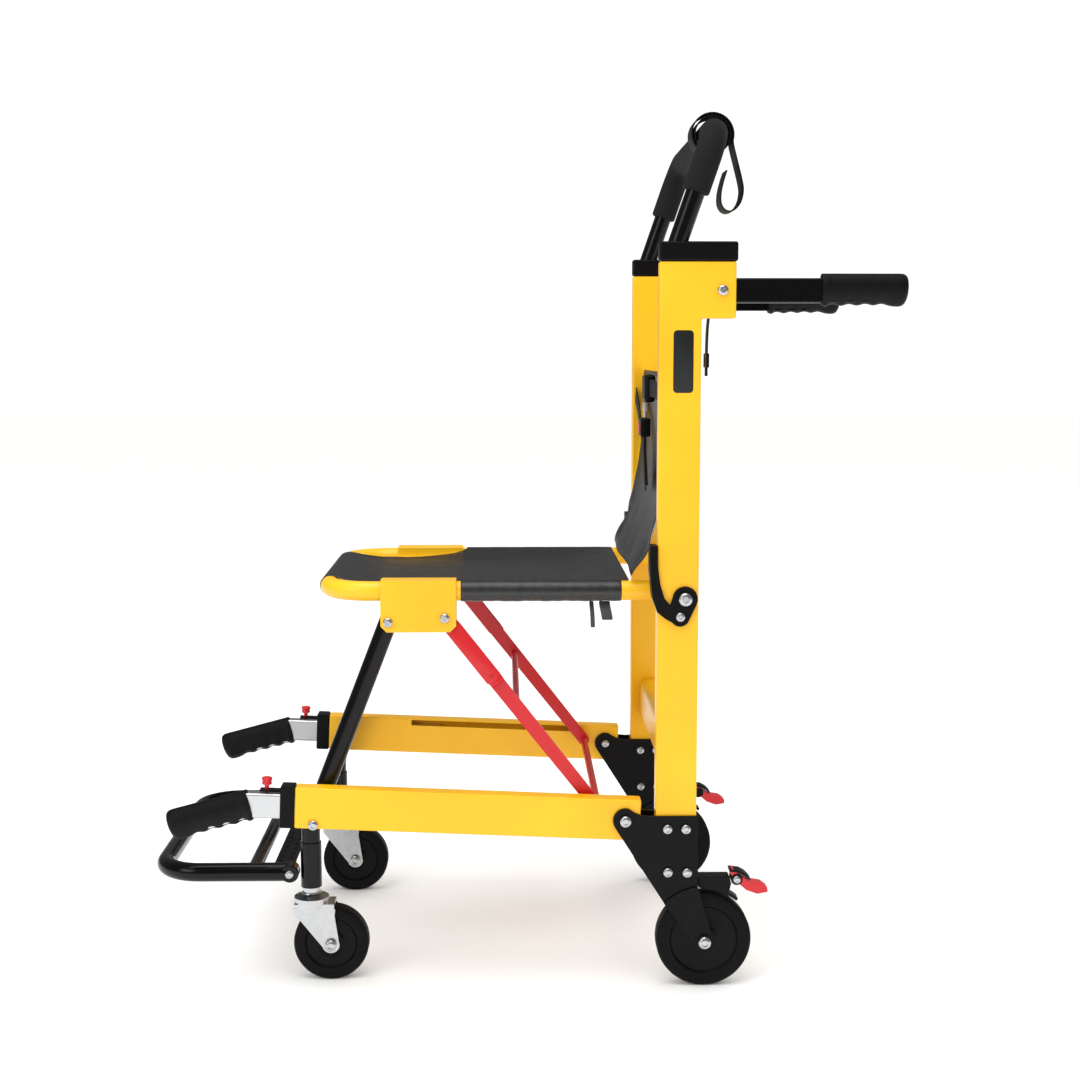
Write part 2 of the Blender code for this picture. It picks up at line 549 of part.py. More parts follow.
# ---- lower rails: hollow, slotted on their inner walls -------------------------------
D = (RAIL_PIVOT[0], 0.0, RAIL_PIVOT[1])
half_rail = RAIL_HEIGHT / 2
LEG_RAIL = (-0.2735, 0.2238)
for side, s in SIDES:
    rail = rail_box(f"lower_rail_{side}", (-RAIL_REAR, RAIL_FRONT), (-half_rail, half_rail),
                    (s * RAIL_IN, s * RAIL_OUT))
    soften(rail, 0.0022, 2)
    bpy.context.view_layer.objects.active = rail
    bpy.ops.object.modifier_apply(modifier="soft edges")
    hollow = rail_box("hollow", (-RAIL_REAR - 0.01, RAIL_FRONT + 0.01),
                      (-half_rail + RAIL_WALL, half_rail - RAIL_WALL),
                      (s * (RAIL_IN + RAIL_WALL), s * (RAIL_OUT - RAIL_WALL)))
    slot = rail_box("slot", (SLOT_REAR, SLOT_REAR + SLOT_LENGTH),
                    (SLOT_UP - SLOT_HEIGHT / 2, SLOT_UP + SLOT_HEIGHT / 2),
                    (s * (RAIL_IN - 0.01), s * (RAIL_IN + RAIL_WALL + 0.005)))
    pin_hole = pin("hole", RAIL_PIVOT, s * (POST_Y - 0.027), s * (POST_Y + 0.023), PIN_RADIUS + RUN_GAP)
    cut(rail, hollow, slot, pin_hole)
    join(rail, pin("leg bolt", LEG_RAIL, s * (RAIL_IN - 0.0022), s * (RAIL_OUT + 0.0005), PIN_RADIUS))
    join(rail, pin("leg bolt head", LEG_RAIL, s * (RAIL_OUT - 0.0005), s * (RAIL_OUT + 0.0028), 0.0060, 14))
    finish(rail, YELLOW, (D[0], s * POST_Y, D[2]))

    # Rail cap: a collar over the rail's front end, with a tongue that guides the release pin.
    cap = rail_box(f"rail_cap_{side}", (RAIL_FRONT + FIT_GAP, RAIL_FRONT + 0.0195),
                   (-half_rail - 0.0004, half_rail + 0.0010),
                   (s * (RAIL_IN - 0.0008), s * (RAIL_OUT + 0.0010)))
    soften(cap, 0.0022, 2)
    bpy.context.view_layer.objects.active = cap
    bpy.ops.object.modifier_apply(modifier="soft edges")
    tongue_up = FRONT_BAR[0] / 2 + 0.0022
    join(cap, rail_box("tongue", (RAIL_FRONT + 0.010, RAIL_FRONT + 0.0470), (tongue_up, tongue_up + 0.0030),
                       (s * (POST_Y - 0.0060), s * (POST_Y + 0.0060))))
    mouth_up = FRONT_BAR[0] / 2 + 0.0005
    mouth_half = FRONT_BAR[1] / 2 + 0.0005
    cut(cap, rail_box("mouth", (RAIL_FRONT - 0.02, RAIL_FRONT + 0.06), (-mouth_up, mouth_up),
                      (s * (POST_Y - mouth_half), s * (POST_Y + mouth_half))))
    low = on_rail(RAIL_FRONT + 0.0385, tongue_up - 0.004)
    high = on_rail(RAIL_FRONT + 0.0385, tongue_up + 0.008)
    cut(cap, rod("stem hole", [(low[0], s * POST_Y, low[1]), (high[0], s * POST_Y, high[1])],
                 0.0030 + RUN_GAP, sides=12, up=(0.95, 0.0, 0.31)))
    finish(cap, BLACK_PLASTIC, (D[0], s * POST_Y, D[2]))

    # Release pin: a red knob on a stem through the tongue, stopping just above the bar.
    low = on_rail(RAIL_FRONT + 0.0385, FRONT_BAR[0] / 2 + 0.0006)
    high = on_rail(RAIL_FRONT + 0.0385, tongue_up + 0.0110)
    top = on_rail(RAIL_FRONT + 0.0385, tongue_up + 0.0205)
    knob_line = [(high[0], s * POST_Y, high[1] - 0.0015), (top[0], s * POST_Y, top[1])]
    knob = rod(f"release_knob_{side}", knob_line, 0.0068, sides=16, up=(0.95, 0.0, 0.31))
    join(knob, rod("stem", [(low[0], s * POST_Y, low[1]), (high[0], s * POST_Y, high[1] + 0.001)],
                   0.0030, sides=12, up=(0.95, 0.0, 0.31)))
    finish(knob, RED_PLASTIC, (low[0], s * POST_Y, low[1]))

    # Slider: the block that the folding link's foot pushes along the slot.
    slider = rail_box(f"slot_slider_{side}", (SLOT_REAR + 0.0010, SLOT_REAR + 0.0110),
                      (SLOT_UP - SLOT_HEIGHT / 2 + 0.0011, SLOT_UP + SLOT_HEIGHT / 2 - 0.0004),
                      (s * SLIDER_IN, s * (RAIL_IN + 0.0060)))
    finish(slider, BLACK_PLASTIC, (D[0], s * POST_Y, D[2]))

# ---- front carry handles: bars that slide out of the rails ---------------------------
GRIP_TILT = math.radians(-14.9)
for side, s in SIDES:
    hh = FRONT_BAR[0] / 2
    bend_at = RAIL_FRONT + 0.0600
    inside = RAIL_FRONT - 0.1750
    knee = on_rail(bend_at)
    reach = Vector((-math.cos(GRIP_TILT), math.sin(GRIP_TILT)))
    square = Vector((math.sin(-GRIP_TILT) * -1, math.cos(GRIP_TILT)))
    end = (knee[0] + reach.x * 0.062, knee[1] + reach.y * 0.062)
    half_turn = (RAIL_SLOPE - GRIP_TILT) / 2
    mid_square = Vector((-math.sin(half_turn - RAIL_SLOPE), math.cos(half_turn - RAIL_SLOPE)))
    mid = hh / math.cos(half_turn)
    outline = [on_rail(inside, hh), (knee[0] + mid_square.x * mid, knee[1] + mid_square.y * mid),
               (end[0] + square.x * hh, end[1] + square.y * hh),
               (end[0] - square.x * hh, end[1] - square.y * hh),
               (knee[0] - mid_square.x * mid, knee[1] - mid_square.y * mid), on_rail(inside, -hh)]
    bar_in = POST_Y - FRONT_BAR[1] / 2
    bar_out = POST_Y + FRONT_BAR[1] / 2
    bar = slab(f"front_handle_bar_{side}", outline, s * bar_in, s * bar_out)
    finish(bar, ALUMINIUM, (D[0], s * POST_Y, D[2]))

    start = Vector(knee) + reach * 0.0005
    length = 0.1085
    shape = []
    for x, z in grip_outline(length):
        spot = start + reach * x + square * z * 0.95
        shape.append((spot.x, spot.y))
    grip = slab(f"front_handle_grip_{side}", shape, s * (POST_Y - 0.0155), s * (POST_Y + 0.0155))
    soften(grip, 0.0060, 3, 60)
    bpy.context.view_layer.objects.active = grip
    bpy.ops.object.modifier_apply(modifier="soft edges")
    near = start - reach * 0.02
    far = Vector(end) + reach * FIT_GAP
    wide = hh + FIT_GAP
    pocket = [tuple(near + square * wide), tuple(far + square * wide),
              tuple(far - square * wide), tuple(near - square * wide)]
    cut(grip, slab("pocket", pocket, s * (bar_in - FIT_GAP), s * (bar_out + FIT_GAP)))
    finish(grip, BLACK_RUBBER, (D[0], s * POST_Y, D[2]))

# ---- seat frame: one bent tube -------------------------------------------------------
SEAT_ORIGIN = (SEAT_PIVOT[0], 0.0, SEAT_PIVOT[1])
tail_x = SEAT_PIVOT[0] + 0.0115
seat_line = [(tail_x, -SEAT_Y, SEAT_TUBE_Z), (SEAT_NOSE_X, -SEAT_Y, SEAT_TUBE_Z),
             (SEAT_NOSE_X, SEAT_Y, SEAT_TUBE_Z), (tail_x, SEAT_Y, SEAT_TUBE_Z)]
seat = rod("seat_frame", seat_line, SEAT_TUBE_RADIUS, bend=0.060, steps=7, up=(0, 0, 1))
for s in (-1, 1):
    cut(seat, pin("pivot hole", SEAT_PIVOT, s * (SEAT_Y - 0.03), s * (SEAT_Y + 0.03), PIN_RADIUS + RUN_GAP))
finish(seat, YELLOW, SEAT_ORIGIN)

# ---- seat brackets: folded plates over the side tubes, with the leg and link pins -----
CHEEK_HALF = max(SEAT_TUBE_RADIUS, LEG_RADIUS) + 0.0005   # the wider of the tubes between the cheeks
CHEEK_IN = SEAT_Y - CHEEK_HALF
CHEEK_OUT = SEAT_Y + CHEEK_HALF
for side, s in SIDES:
    block = [(-0.1843, 0.5437), (-0.1843, 0.4830), (-0.1763, 0.4750), (-0.0926, 0.4750), (-0.0846, 0.4830),
             (-0.0846, 0.5437)]
    bracket = slab(f"seat_bracket_{side}", block, s * (CHEEK_IN - CHEEK), s * (CHEEK_OUT + CHEEK))
    tunnel = [(-0.20, 0.46), (-0.06, 0.46), (-0.06, SEAT_TUBE_Z + SEAT_TUBE_RADIUS + 0.0004),
              (-0.20, SEAT_TUBE_Z + SEAT_TUBE_RADIUS + 0.0004)]
    cut(bracket, slab("tunnel", tunnel, s * CHEEK_IN, s * CHEEK_OUT))
    soften(bracket, 0.0008, 1, 60)
    bpy.context.view_layer.objects.active = bracket
    bpy.ops.object.modifier_apply(modifier="soft edges")
    for spot in (LEG_PIVOT, LINK_PIVOT):
        join(bracket, pin("pin", spot, s * (CHEEK_IN - 0.001), s * (CHEEK_OUT + 0.001), PIN_RADIUS))
        join(bracket, pin("head", spot, s * (CHEEK_OUT + 0.002), s * (CHEEK_OUT + CHEEK + 0.0026),
                          0.0056, 14))
    finish(bracket, YELLOW, (SEAT_PIVOT[0], s * SEAT_Y, SEAT_PIVOT[1]))

# ---- seat cover: a vinyl panel whose edges wrap the tubes ----------------------------
wrap_in = SEAT_TUBE_RADIUS + 0.0003
wrap_out = wrap_in + COVER_WALL
panel_top = SEAT_TUBE_Z + wrap_out - 0.0004
panel = (SEAT_TUBE_Z + wrap_in + 0.0003, panel_top)
panel_half = CHEEK_IN - CHEEK - 0.002
cover = box("seat_cover", (SEAT_NOSE_X, 0.145), (-panel_half, panel_half), panel)
join(cover, box("middle", (-0.078, 0.1445), (-SEAT_Y, SEAT_Y), (panel[0] + 0.00005, panel[1] - 0.00005)))
for s in (-1, 1):
    join(cover, sleeve("side wrap", [(-0.0790, s * SEAT_Y, SEAT_TUBE_Z), (0.1340, s * SEAT_Y, SEAT_TUBE_Z)],
                       wrap_out, wrap_in, up=(0, 0, 1)))
join(cover, sleeve("front wrap", [(SEAT_NOSE_X, -0.122, SEAT_TUBE_Z), (SEAT_NOSE_X, 0.122, SEAT_TUBE_Z)],
                   wrap_out, wrap_in, up=(0, 0, 1)))
finish(cover, VINYL, SEAT_ORIGIN)

# ---- back sling: a vinyl sheet from the rear of the seat up between the posts --------
sling_line = [(0.1480, 0.5490), (0.1590, 0.5660), (0.1700, 0.5950), (0.1790, 0.6300), (0.1870, 0.6700),
              (0.1925, 0.7100), (0.1950, 0.7500), (0.1955, 0.8150)]
sling = slab("back_sling", ribbon(sling_line, 0.0024), -(POST_IN - 0.0012), POST_IN - 0.0012)
finish(sling, VINYL)

# ---- chest belt: a buckle on a stiff stalk in front of the sling ---------------------
belt_y = (-0.045, -0.015)
BELT_ORIGIN = (0.1790, -0.030, 0.7300)
stalk_line = [(0.1792, 0.6560), (0.1782, 0.6800), (0.1768, 0.7040), (0.1765, 0.7240)]
belt = slab("belt_stalk", ribbon(stalk_line, 0.0040), -0.041, -0.019)
finish(belt, WEBBING, BELT_ORIGIN)
buckle = box("belt_buckle", (0.1695, 0.1835), (-0.0500, -0.0100), (0.7243, 0.7500))
soften(buckle, 0.0025, 2)
bpy.context.view_layer.objects.active = buckle
bpy.ops.object.modifier_apply(modifier="soft edges")
cut(buckle, box("button well", (0.1600, 0.1745), (-0.0405, -0.0195), (0.7285, 0.7425)))
cut(buckle, box("tongue slot", (0.1745, 0.1795), (-0.0425, -0.0175), (0.7430, 0.7600)))
finish(buckle, BLACK_PLASTIC, BELT_ORIGIN)
button = box("belt_button", (0.1680, 0.1722), (-0.0400, -0.0200), (0.7290, 0.7420))
finish(button, RED_PLASTIC, (0.1722, -0.030, 0.7355))
tongue = box("belt_tongue", (0.1758, 0.1782), (-0.0410, -0.0190), (0.7450, 0.7725))
join(tongue, box("tongue head", (0.1752, 0.1788), (-0.0520, -0.0080), (0.7600, 0.7720)))
finish(tongue, ZINC, BELT_ORIGIN)
pad = box("belt_pad", (0.1745, 0.1900), (-0.0530, -0.0070), (0.7724, 0.8110))
soften(pad, 0.0050, 3)
finish(pad, WEBBING, BELT_ORIGIN)

# ---- front legs: bent tubes from the seat brackets down to the casters ---------------
B = (LEG_PIVOT[0], 0.0, LEG_PIVOT[1])
lean = Vector((LEG_FOOT_X - LEG_PIVOT[0], 0.2112 - LEG_PIVOT[1])).normalized()
for side, s in SIDES:
    crown = (LEG_PIVOT[0] - lean.x * 0.0105, s * SEAT_Y, LEG_PIVOT[1] - lean.y * 0.0105)
    leg_line = [crown, (LEG_FOOT_X, s * SEAT_Y, 0.2112), (LEG_FOOT_X, s * SEAT_Y, LEG_BOTTOM)]
    leg = rod(f"front_leg_{side}", leg_line, LEG_RADIUS, bend=0.060, up=(0, 1, 0))
    join(leg, upright("sleeve", (LEG_FOOT_X, s * SEAT_Y), LEG_BOTTOM - 0.0005, 0.1880, SLEEVE_RADIUS))
    join(leg, upright("collar", (LEG_FOOT_X, s * SEAT_Y), LEG_BOTTOM - 0.0100, LEG_BOTTOM + 0.001, 0.0115))
    cut(leg, pin("hole", LEG_PIVOT, s * (SEAT_Y - 0.03), s * (SEAT_Y + 0.03), PIN_RADIUS + RUN_GAP))
    finish(leg, BLACK_GLOSS, (B[0], s * SEAT_Y, B[2]))

# ---- footrest: a bent tube hinged at the front of the legs ---------------------------
FOOT_PIVOT = (LEG_FOOT_X - SLEEVE_RADIUS - 0.0140, FOOT_Z)
foot_line = [(FOOT_PIVOT[0], -SEAT_Y, FOOT_Z), (FOOT_NOSE_X, -SEAT_Y, FOOT_Z), (FOOT_NOSE_X, SEAT_Y, FOOT_Z),
             (FOOT_PIVOT[0], SEAT_Y, FOOT_Z)]
foot = rod("footrest_frame", foot_line, 0.0125, bend=0.055, steps=7, up=(0, 0, 1))
bar_line = [(FOOT_BAR_X, -SEAT_Y, FOOT_Z + 0.001), (FOOT_BAR_X, SEAT_Y, FOOT_Z + 0.001)]
join(foot, rod("bar", bar_line, 0.0095, up=(0, 0, 1)))
for s in (-1, 1):
    join(foot, pin("hinge barrel", FOOT_PIVOT, s * (SEAT_Y - 0.0110), s * (SEAT_Y + 0.0110), 0.0120))
finish(foot, BLACK_GLOSS, (FOOT_PIVOT[0], 0.0, FOOT_PIVOT[1]))
tread_half = SEAT_Y - 0.0140
tread = box("foot_tread", (-0.3340, -0.3060), (-tread_half, tread_half), (FOOT_Z + 0.0035, FOOT_Z + 0.0065))
finish(tread, BLACK_STEEL, (FOOT_PIVOT[0], 0.0, FOOT_PIVOT[1]))

# ---- casters -------------------------------------------------------------------------
C_AXLE = (CASTER_AXLE_X, CASTER_RADIUS)
for side, s in SIDES:
    y = s * SEAT_Y
    swivel = (LEG_FOOT_X, y, 0.0)
    fork = upright(f"caster_fork_{side}", (LEG_FOOT_X, y), 0.1010, 0.1130, 0.0235, 28)
    join(fork, upright("raceway", (LEG_FOOT_X, y), 0.1129, 0.1165, 0.0195, 28, 0.0150))
    half_fork = CASTER_WIDTH / 2 + 0.0020
    cheek_line = [(-0.3050, 0.1012), (-0.3048, 0.0950)] + arc(C_AXLE, 0.0120, 195, 350, 7)
    cheek_line += [(-0.2500, 0.0900), (-0.2490, 0.0985), (-0.2510, 0.1012)]
    crown_half = half_fork + 0.0018
    join(fork, box("crown", (-0.3040, -0.2505), (y - crown_half, y + crown_half), (0.1008, 0.1060)))
    for t in (-1, 1):
        one = y + t * half_fork
        join(fork, slab("cheek", cheek_line, one, one + t * 0.0020))
    # The crown's underside is cleared so that the wheel turns under it.
    cut(fork, pin("wheel room", C_AXLE, y - CASTER_WIDTH / 2 - 0.0012, y + CASTER_WIDTH / 2 + 0.0012,
                  CASTER_RADIUS + 0.0011, 32))
    for t in (-1, 1):
        outer = y + t * (half_fork + 0.0020)
        join(fork, pin("axle head", C_AXLE, outer - t * 0.0005, outer + t * 0.0035, 0.0072, 16))
    join(fork, pin("axle", C_AXLE, y - half_fork - 0.001, y + half_fork + 0.001, PIN_RADIUS))
    cut(fork, upright("stem room", (LEG_FOOT_X, y), 0.1163, 0.1300, 0.0119, 20))
    finish(fork, ZINC, swivel)

    half = CASTER_WIDTH / 2
    bore_r = PIN_RADIUS + RUN_GAP
    half_side = [(bore_r, half - 0.0005), (0.0095, half - 0.0005), (0.0095, half - 0.0025),
                 (0.0330, half - 0.0025), (0.0360, half), (CASTER_RADIUS - 0.005, half),
                 (CASTER_RADIUS, half - 0.006)]
    profile = [(r, -x) for r, x in half_side] + half_side[::-1]
    wheel = turned(f"caster_wheel_{side}", C_AXLE, y, profile, 32)
    finish(wheel, TYRE, (C_AXLE[0], y, C_AXLE[1]))

# ---- folding link: two flat arms and two crossbars, from the seat to the rail slots ---
K = (LINK_PIVOT[0], 0.0, LINK_PIVOT[1])
slot_foot = on_rail(SLOT_REAR + 0.0060, SLOT_UP)
run = Vector((slot_foot[0] - LINK_PIVOT[0], slot_foot[1] - LINK_PIVOT[1]))
way = run.normalized()
across = Vector((-way.y, way.x))
reach = run.length + 0.0190
arm_in = SEAT_Y + 0.0065
arm_out = SEAT_Y + 0.0105
link = None
for s in (-1, 1):
    base = Vector(LINK_PIVOT)
    tip = base + way * reach
    turn = math.degrees(math.atan2(way.y, way.x))
    line = arc(tuple(base), 0.0105, turn + 90, turn + 270, 8)
    line += arc(tuple(tip), 0.0085, turn - 90, turn + 90, 8)
    arm = slab("folding_link" if s < 0 else "arm", line, s * arm_in, s * arm_out)
    if s < 0:
        link = arm
for along, radius in ((0.1530, 0.0048), (reach, 0.0052)):
    spot = Vector(LINK_PIVOT) + way * along
    join(link, pin("bar", (spot.x, spot.y), -(arm_out - 0.001), arm_out - 0.001, radius, 12))
join(link, arm)
# The foot pins end against the sliders in the rail slots.
for s in (-1, 1):
    join(link, pin("foot pin", slot_foot, s * (arm_in + 0.001), s * (SLIDER_IN - FIT_GAP), PIN_RADIUS, 12))
cut(link, pin("hole", LINK_PIVOT, -0.25, 0.25, PIN_RADIUS + RUN_GAP))
finish(link, RED_PAINT, K)
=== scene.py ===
"""Folding stair chair of powder-coated tube with vinyl slings, standing on a pale floor."""

import json
import math

import bpy
from mathutils import Matrix, Vector


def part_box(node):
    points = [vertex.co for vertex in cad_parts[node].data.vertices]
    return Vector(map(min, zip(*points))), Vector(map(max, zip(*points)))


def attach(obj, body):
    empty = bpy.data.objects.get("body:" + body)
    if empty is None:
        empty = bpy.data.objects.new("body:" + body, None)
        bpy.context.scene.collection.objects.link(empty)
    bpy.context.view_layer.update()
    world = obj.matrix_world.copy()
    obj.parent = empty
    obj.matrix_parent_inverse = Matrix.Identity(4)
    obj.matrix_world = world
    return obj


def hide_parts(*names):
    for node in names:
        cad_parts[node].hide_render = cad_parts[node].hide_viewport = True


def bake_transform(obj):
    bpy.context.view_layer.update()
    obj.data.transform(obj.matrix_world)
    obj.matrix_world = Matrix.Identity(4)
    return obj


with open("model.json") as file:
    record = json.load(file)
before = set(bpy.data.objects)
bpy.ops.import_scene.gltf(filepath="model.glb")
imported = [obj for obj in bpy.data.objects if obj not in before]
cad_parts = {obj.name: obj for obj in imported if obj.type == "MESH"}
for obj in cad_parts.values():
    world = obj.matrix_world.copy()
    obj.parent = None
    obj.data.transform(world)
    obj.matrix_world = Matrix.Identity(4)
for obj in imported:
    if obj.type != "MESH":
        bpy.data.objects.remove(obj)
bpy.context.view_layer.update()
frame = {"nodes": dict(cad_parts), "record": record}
body_of = {member: body for body, members in frame["record"]["behaviour"]["bodies"].items()
           for member in members}
SIDES = (("left", -1), ("right", 1))


# ---- floor, light and camera ---------------------------------------------------------
# A matt white sweep that runs out of sight under the chair, a big soft box overhead, a
# second one in front and a weak one behind, as for a catalogue picture.
def colour(code):
    """An sRGB hex colour as the linear numbers that a shader takes."""
    parts = [int(code[i:i + 2], 16) / 255 for i in (1, 3, 5)]
    return tuple(c / 12.92 if c <= 0.04045 else ((c + 0.055) / 1.055) ** 2.4 for c in parts) + (1.0,)


def node(material, kind, sockets=None, links=None, **settings):
    """Adds one node with its settings, its socket values and what is plugged into it."""
    made = material.node_tree.nodes.new(kind)
    for name, value in settings.items():
        setattr(made, name, value)
    for name, value in (sockets or {}).items():
        made.inputs[name].default_value = value
    for name, source in (links or {}).items():
        material.node_tree.links.new(source, made.inputs[name])
    return made


def surface(name, **sockets):
    """A new material and its shader, with the shader's own sockets set."""
    made = bpy.data.materials.new(name)
    made.use_nodes = True
    shader = made.node_tree.nodes["Principled BSDF"]
    for socket, value in sockets.items():
        shader.inputs[socket.replace("_", " ")].default_value = value
    return made, shader


def into_scene(name, data):
    """A new object that holds this mesh, camera or lamp, in the scene."""
    made = bpy.data.objects.new(name, data)
    bpy.context.scene.collection.objects.link(made)
    return made


def relief(material, height, strength, distance):
    """Raises the material's surface by a texture's output, distance metres high."""
    bump = node(material, "ShaderNodeBump", {"Strength": strength, "Distance": distance}, {"Height": height})
    shader = material.node_tree.nodes["Principled BSDF"]
    material.node_tree.links.new(bump.outputs["Normal"], shader.inputs["Normal"])


def vary_sheen(material, source, low, high):
    """Runs the material's roughness from low to high with a texture's output."""
    between = node(material, "ShaderNodeMapRange", {"To Min": low, "To Max": high}, {"Value": source})
    shader = material.node_tree.nodes["Principled BSDF"]
    material.node_tree.links.new(between.outputs["Result"], shader.inputs["Roughness"])


# Matt emulsion on a board: no gloss, and a grain far too fine to see.
floor_paint, floor_shader = surface("matt_emulsion_floor", Base_Color=colour("#F6F6F5"), Roughness=0.95,
                                    Specular_IOR_Level=0.0)
bpy.ops.object.select_all(action="DESELECT")
bpy.ops.mesh.primitive_plane_add(size=30.0, location=(0.0, 6.0, 0.0))
floor = bpy.context.object
floor.name = "studio_floor"
bpy.ops.object.transform_apply(location=True, rotation=True, scale=True)
floor.data.materials.append(floor_paint)

world = bpy.data.worlds.new("studio_air")
bpy.context.scene.world = world
world.use_nodes = True
world.node_tree.nodes["Background"].inputs["Color"].default_value = (1.0, 1.0, 1.0, 1.0)
# Reflections see a dimmer room than diffuse light does, which keeps glossy black deep.
ray = node(world, "ShaderNodeLightPath")
air = node(world, "ShaderNodeMapRange", {"To Min": 1.08, "To Max": 0.22},
           {"Value": ray.outputs["Is Glossy Ray"]})
world.node_tree.links.new(air.outputs["Result"], world.node_tree.nodes["Background"].inputs["Strength"])
for name, spot, aim, size, power in (
        ("overhead_box", (-0.3, -0.6, 3.2), (0.0, 0.0, 0.5), 2.4, 46.0),
        ("front_box", (-2.6, -2.6, 2.0), (0.0, 0.0, 0.6), 1.8, 24.0),
        ("back_box", (2.4, 2.2, 2.4), (0.0, 0.0, 0.6), 1.6, 14.0)):
    lamp = bpy.data.lights.new(name, "AREA")
    lamp.shape = "SQUARE"
    lamp.size = size
    lamp.energy = power
    held = into_scene(name, lamp)
    held.location = spot
    held.rotation_euler = (Vector(aim) - Vector(spot)).to_track_quat("-Z", "Y").to_euler()

lens = bpy.data.cameras.new("camera")
lens.sensor_width = 36.0
lens.lens = 55.1
lens.clip_end = 60.0
camera = into_scene("camera", lens)
camera.location = (-0.0215, -2.354, 0.8453)
camera.rotation_euler = (math.radians(90 - 6.57), 0.0, math.radians(-1.26))
bpy.context.scene.camera = camera
bpy.context.scene.view_settings.view_transform = "Standard"


# ---- rear posts, cross tubes and other yellow aluminium ------------------------------
# Extruded box section, powder coated and baked: a thick even yellow skin with a slight
# orange peel, which is a little thin and so a little darker along the edges.
def alone(piece):
    """Selects one piece only, and makes it the active one."""
    bpy.ops.object.select_all(action="DESELECT")
    piece.select_set(True)
    bpy.context.view_layer.objects.active = piece


def apply_all(piece):
    alone(piece)
    for modifier in list(piece.modifiers):
        bpy.ops.object.modifier_apply(modifier=modifier.name)


def join_all(pieces):
    """Makes several pieces one, which is the first."""
    alone(pieces[0])
    for piece in pieces:
        piece.select_set(True)
    if len(pieces) > 1:
        bpy.ops.object.join()


def smooth_under(degrees):
    """Shades the active piece smooth, with edges sharper than this kept sharp."""
    bpy.ops.object.shade_smooth_by_angle(angle=math.radians(degrees))


def pull(way):
    """Extrudes what is selected in edit mode."""
    bpy.ops.mesh.extrude_region_move(TRANSFORM_OT_translate={"value": way})


def round_off(piece, width):
    step = piece.modifiers.new("rounded", "BEVEL")
    step.width = width
    step.segments = 2
    step.limit_method = "ANGLE"
    apply_all(piece)


def smoothed(name, finish, bevel=0.0):
    """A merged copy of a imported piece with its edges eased, which stands for it."""
    piece = into_scene(name + "_skin", frame["nodes"][name].data.copy())
    alone(piece)
    bpy.ops.object.mode_set(mode="EDIT")
    bpy.ops.mesh.select_all(action="SELECT")
    bpy.ops.mesh.remove_doubles(threshold=0.00002)
    bpy.ops.mesh.dissolve_limited(angle_limit=math.radians(1.0))
    bpy.ops.object.mode_set(mode="OBJECT")
    if bevel:
        step = piece.modifiers.new("eased edge", "BEVEL")
        step.width = bevel
        step.segments = 2
        step.limit_method = "ANGLE"
        step.angle_limit = math.radians(50)
    smooth_under(38)
    step = piece.modifiers.new("flat faces", "WEIGHTED_NORMAL")
    step.keep_sharp = True
    apply_all(piece)
    piece.data.materials.clear()
    piece.data.materials.append(finish)
    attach(piece, body_of[name])
    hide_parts(name)
    return piece


yellow_coat, shader = surface("powder_coated_aluminium_yellow", Roughness=0.3, IOR=1.52)
place = node(yellow_coat, "ShaderNodeTexCoord").outputs["Object"]
cloud = node(yellow_coat, "ShaderNodeTexNoise", {"Scale": 7.0, "Detail": 3.0}, {"Vector": place})
tint = node(yellow_coat, "ShaderNodeMapRange", {"From Min": 0.3, "From Max": 0.7},
            {"Value": cloud.outputs["Fac"]})
ramp = node(yellow_coat, "ShaderNodeValToRGB", None, {"Fac": tint.outputs["Result"]})
ramp.color_ramp.elements[0].color = colour("#F2B200")
ramp.color_ramp.elements[1].color = colour("#F9BE08")
yellow_coat.node_tree.links.new(ramp.outputs["Color"], shader.inputs["Base Color"])
# Orange peel: swells about 1.6 mm across and a few hundredths high.
peel = node(yellow_coat, "ShaderNodeTexNoise", {"Scale": 620.0, "Detail": 1.0}, {"Vector": place})
relief(yellow_coat, peel.outputs["Fac"], 0.10, 0.0004)
vary_sheen(yellow_coat, cloud.outputs["Fac"], 0.24, 0.38)

for side, s in SIDES:
    smoothed(f"rear_post_{side}", yellow_coat)
for name in ("cross_tube_lower", "cross_tube_upper"):
    smoothed(name, yellow_coat)


# ---- caps and other moulded black plastic --------------------------------------------
# Moulded nylon: near black, with the fine spark-eroded grain of the mould and a soft,
# slightly uneven sheen.
black_nylon, shader = surface("moulded_nylon_black", Base_Color=colour("#060607"), IOR=1.53,
                              Specular_IOR_Level=0.14)
place = node(black_nylon, "ShaderNodeTexCoord").outputs["Object"]
grain = node(black_nylon, "ShaderNodeTexNoise", {"Scale": 1500.0, "Detail": 2.0}, {"Vector": place})
relief(black_nylon, grain.outputs["Fac"], 0.25, 0.0002)
patch = node(black_nylon, "ShaderNodeTexNoise", {"Scale": 30.0, "Detail": 3.0}, {"Vector": place})
vary_sheen(black_nylon, patch.outputs["Fac"], 0.34, 0.50)

for side, s in SIDES:
    smoothed(f"post_cap_{side}", black_nylon)
    smoothed(f"rail_cap_{side}", black_nylon)
    smoothed(f"slot_slider_{side}", black_nylon)
    smoothed(f"side_guard_{side}", black_nylon, 0.0007)

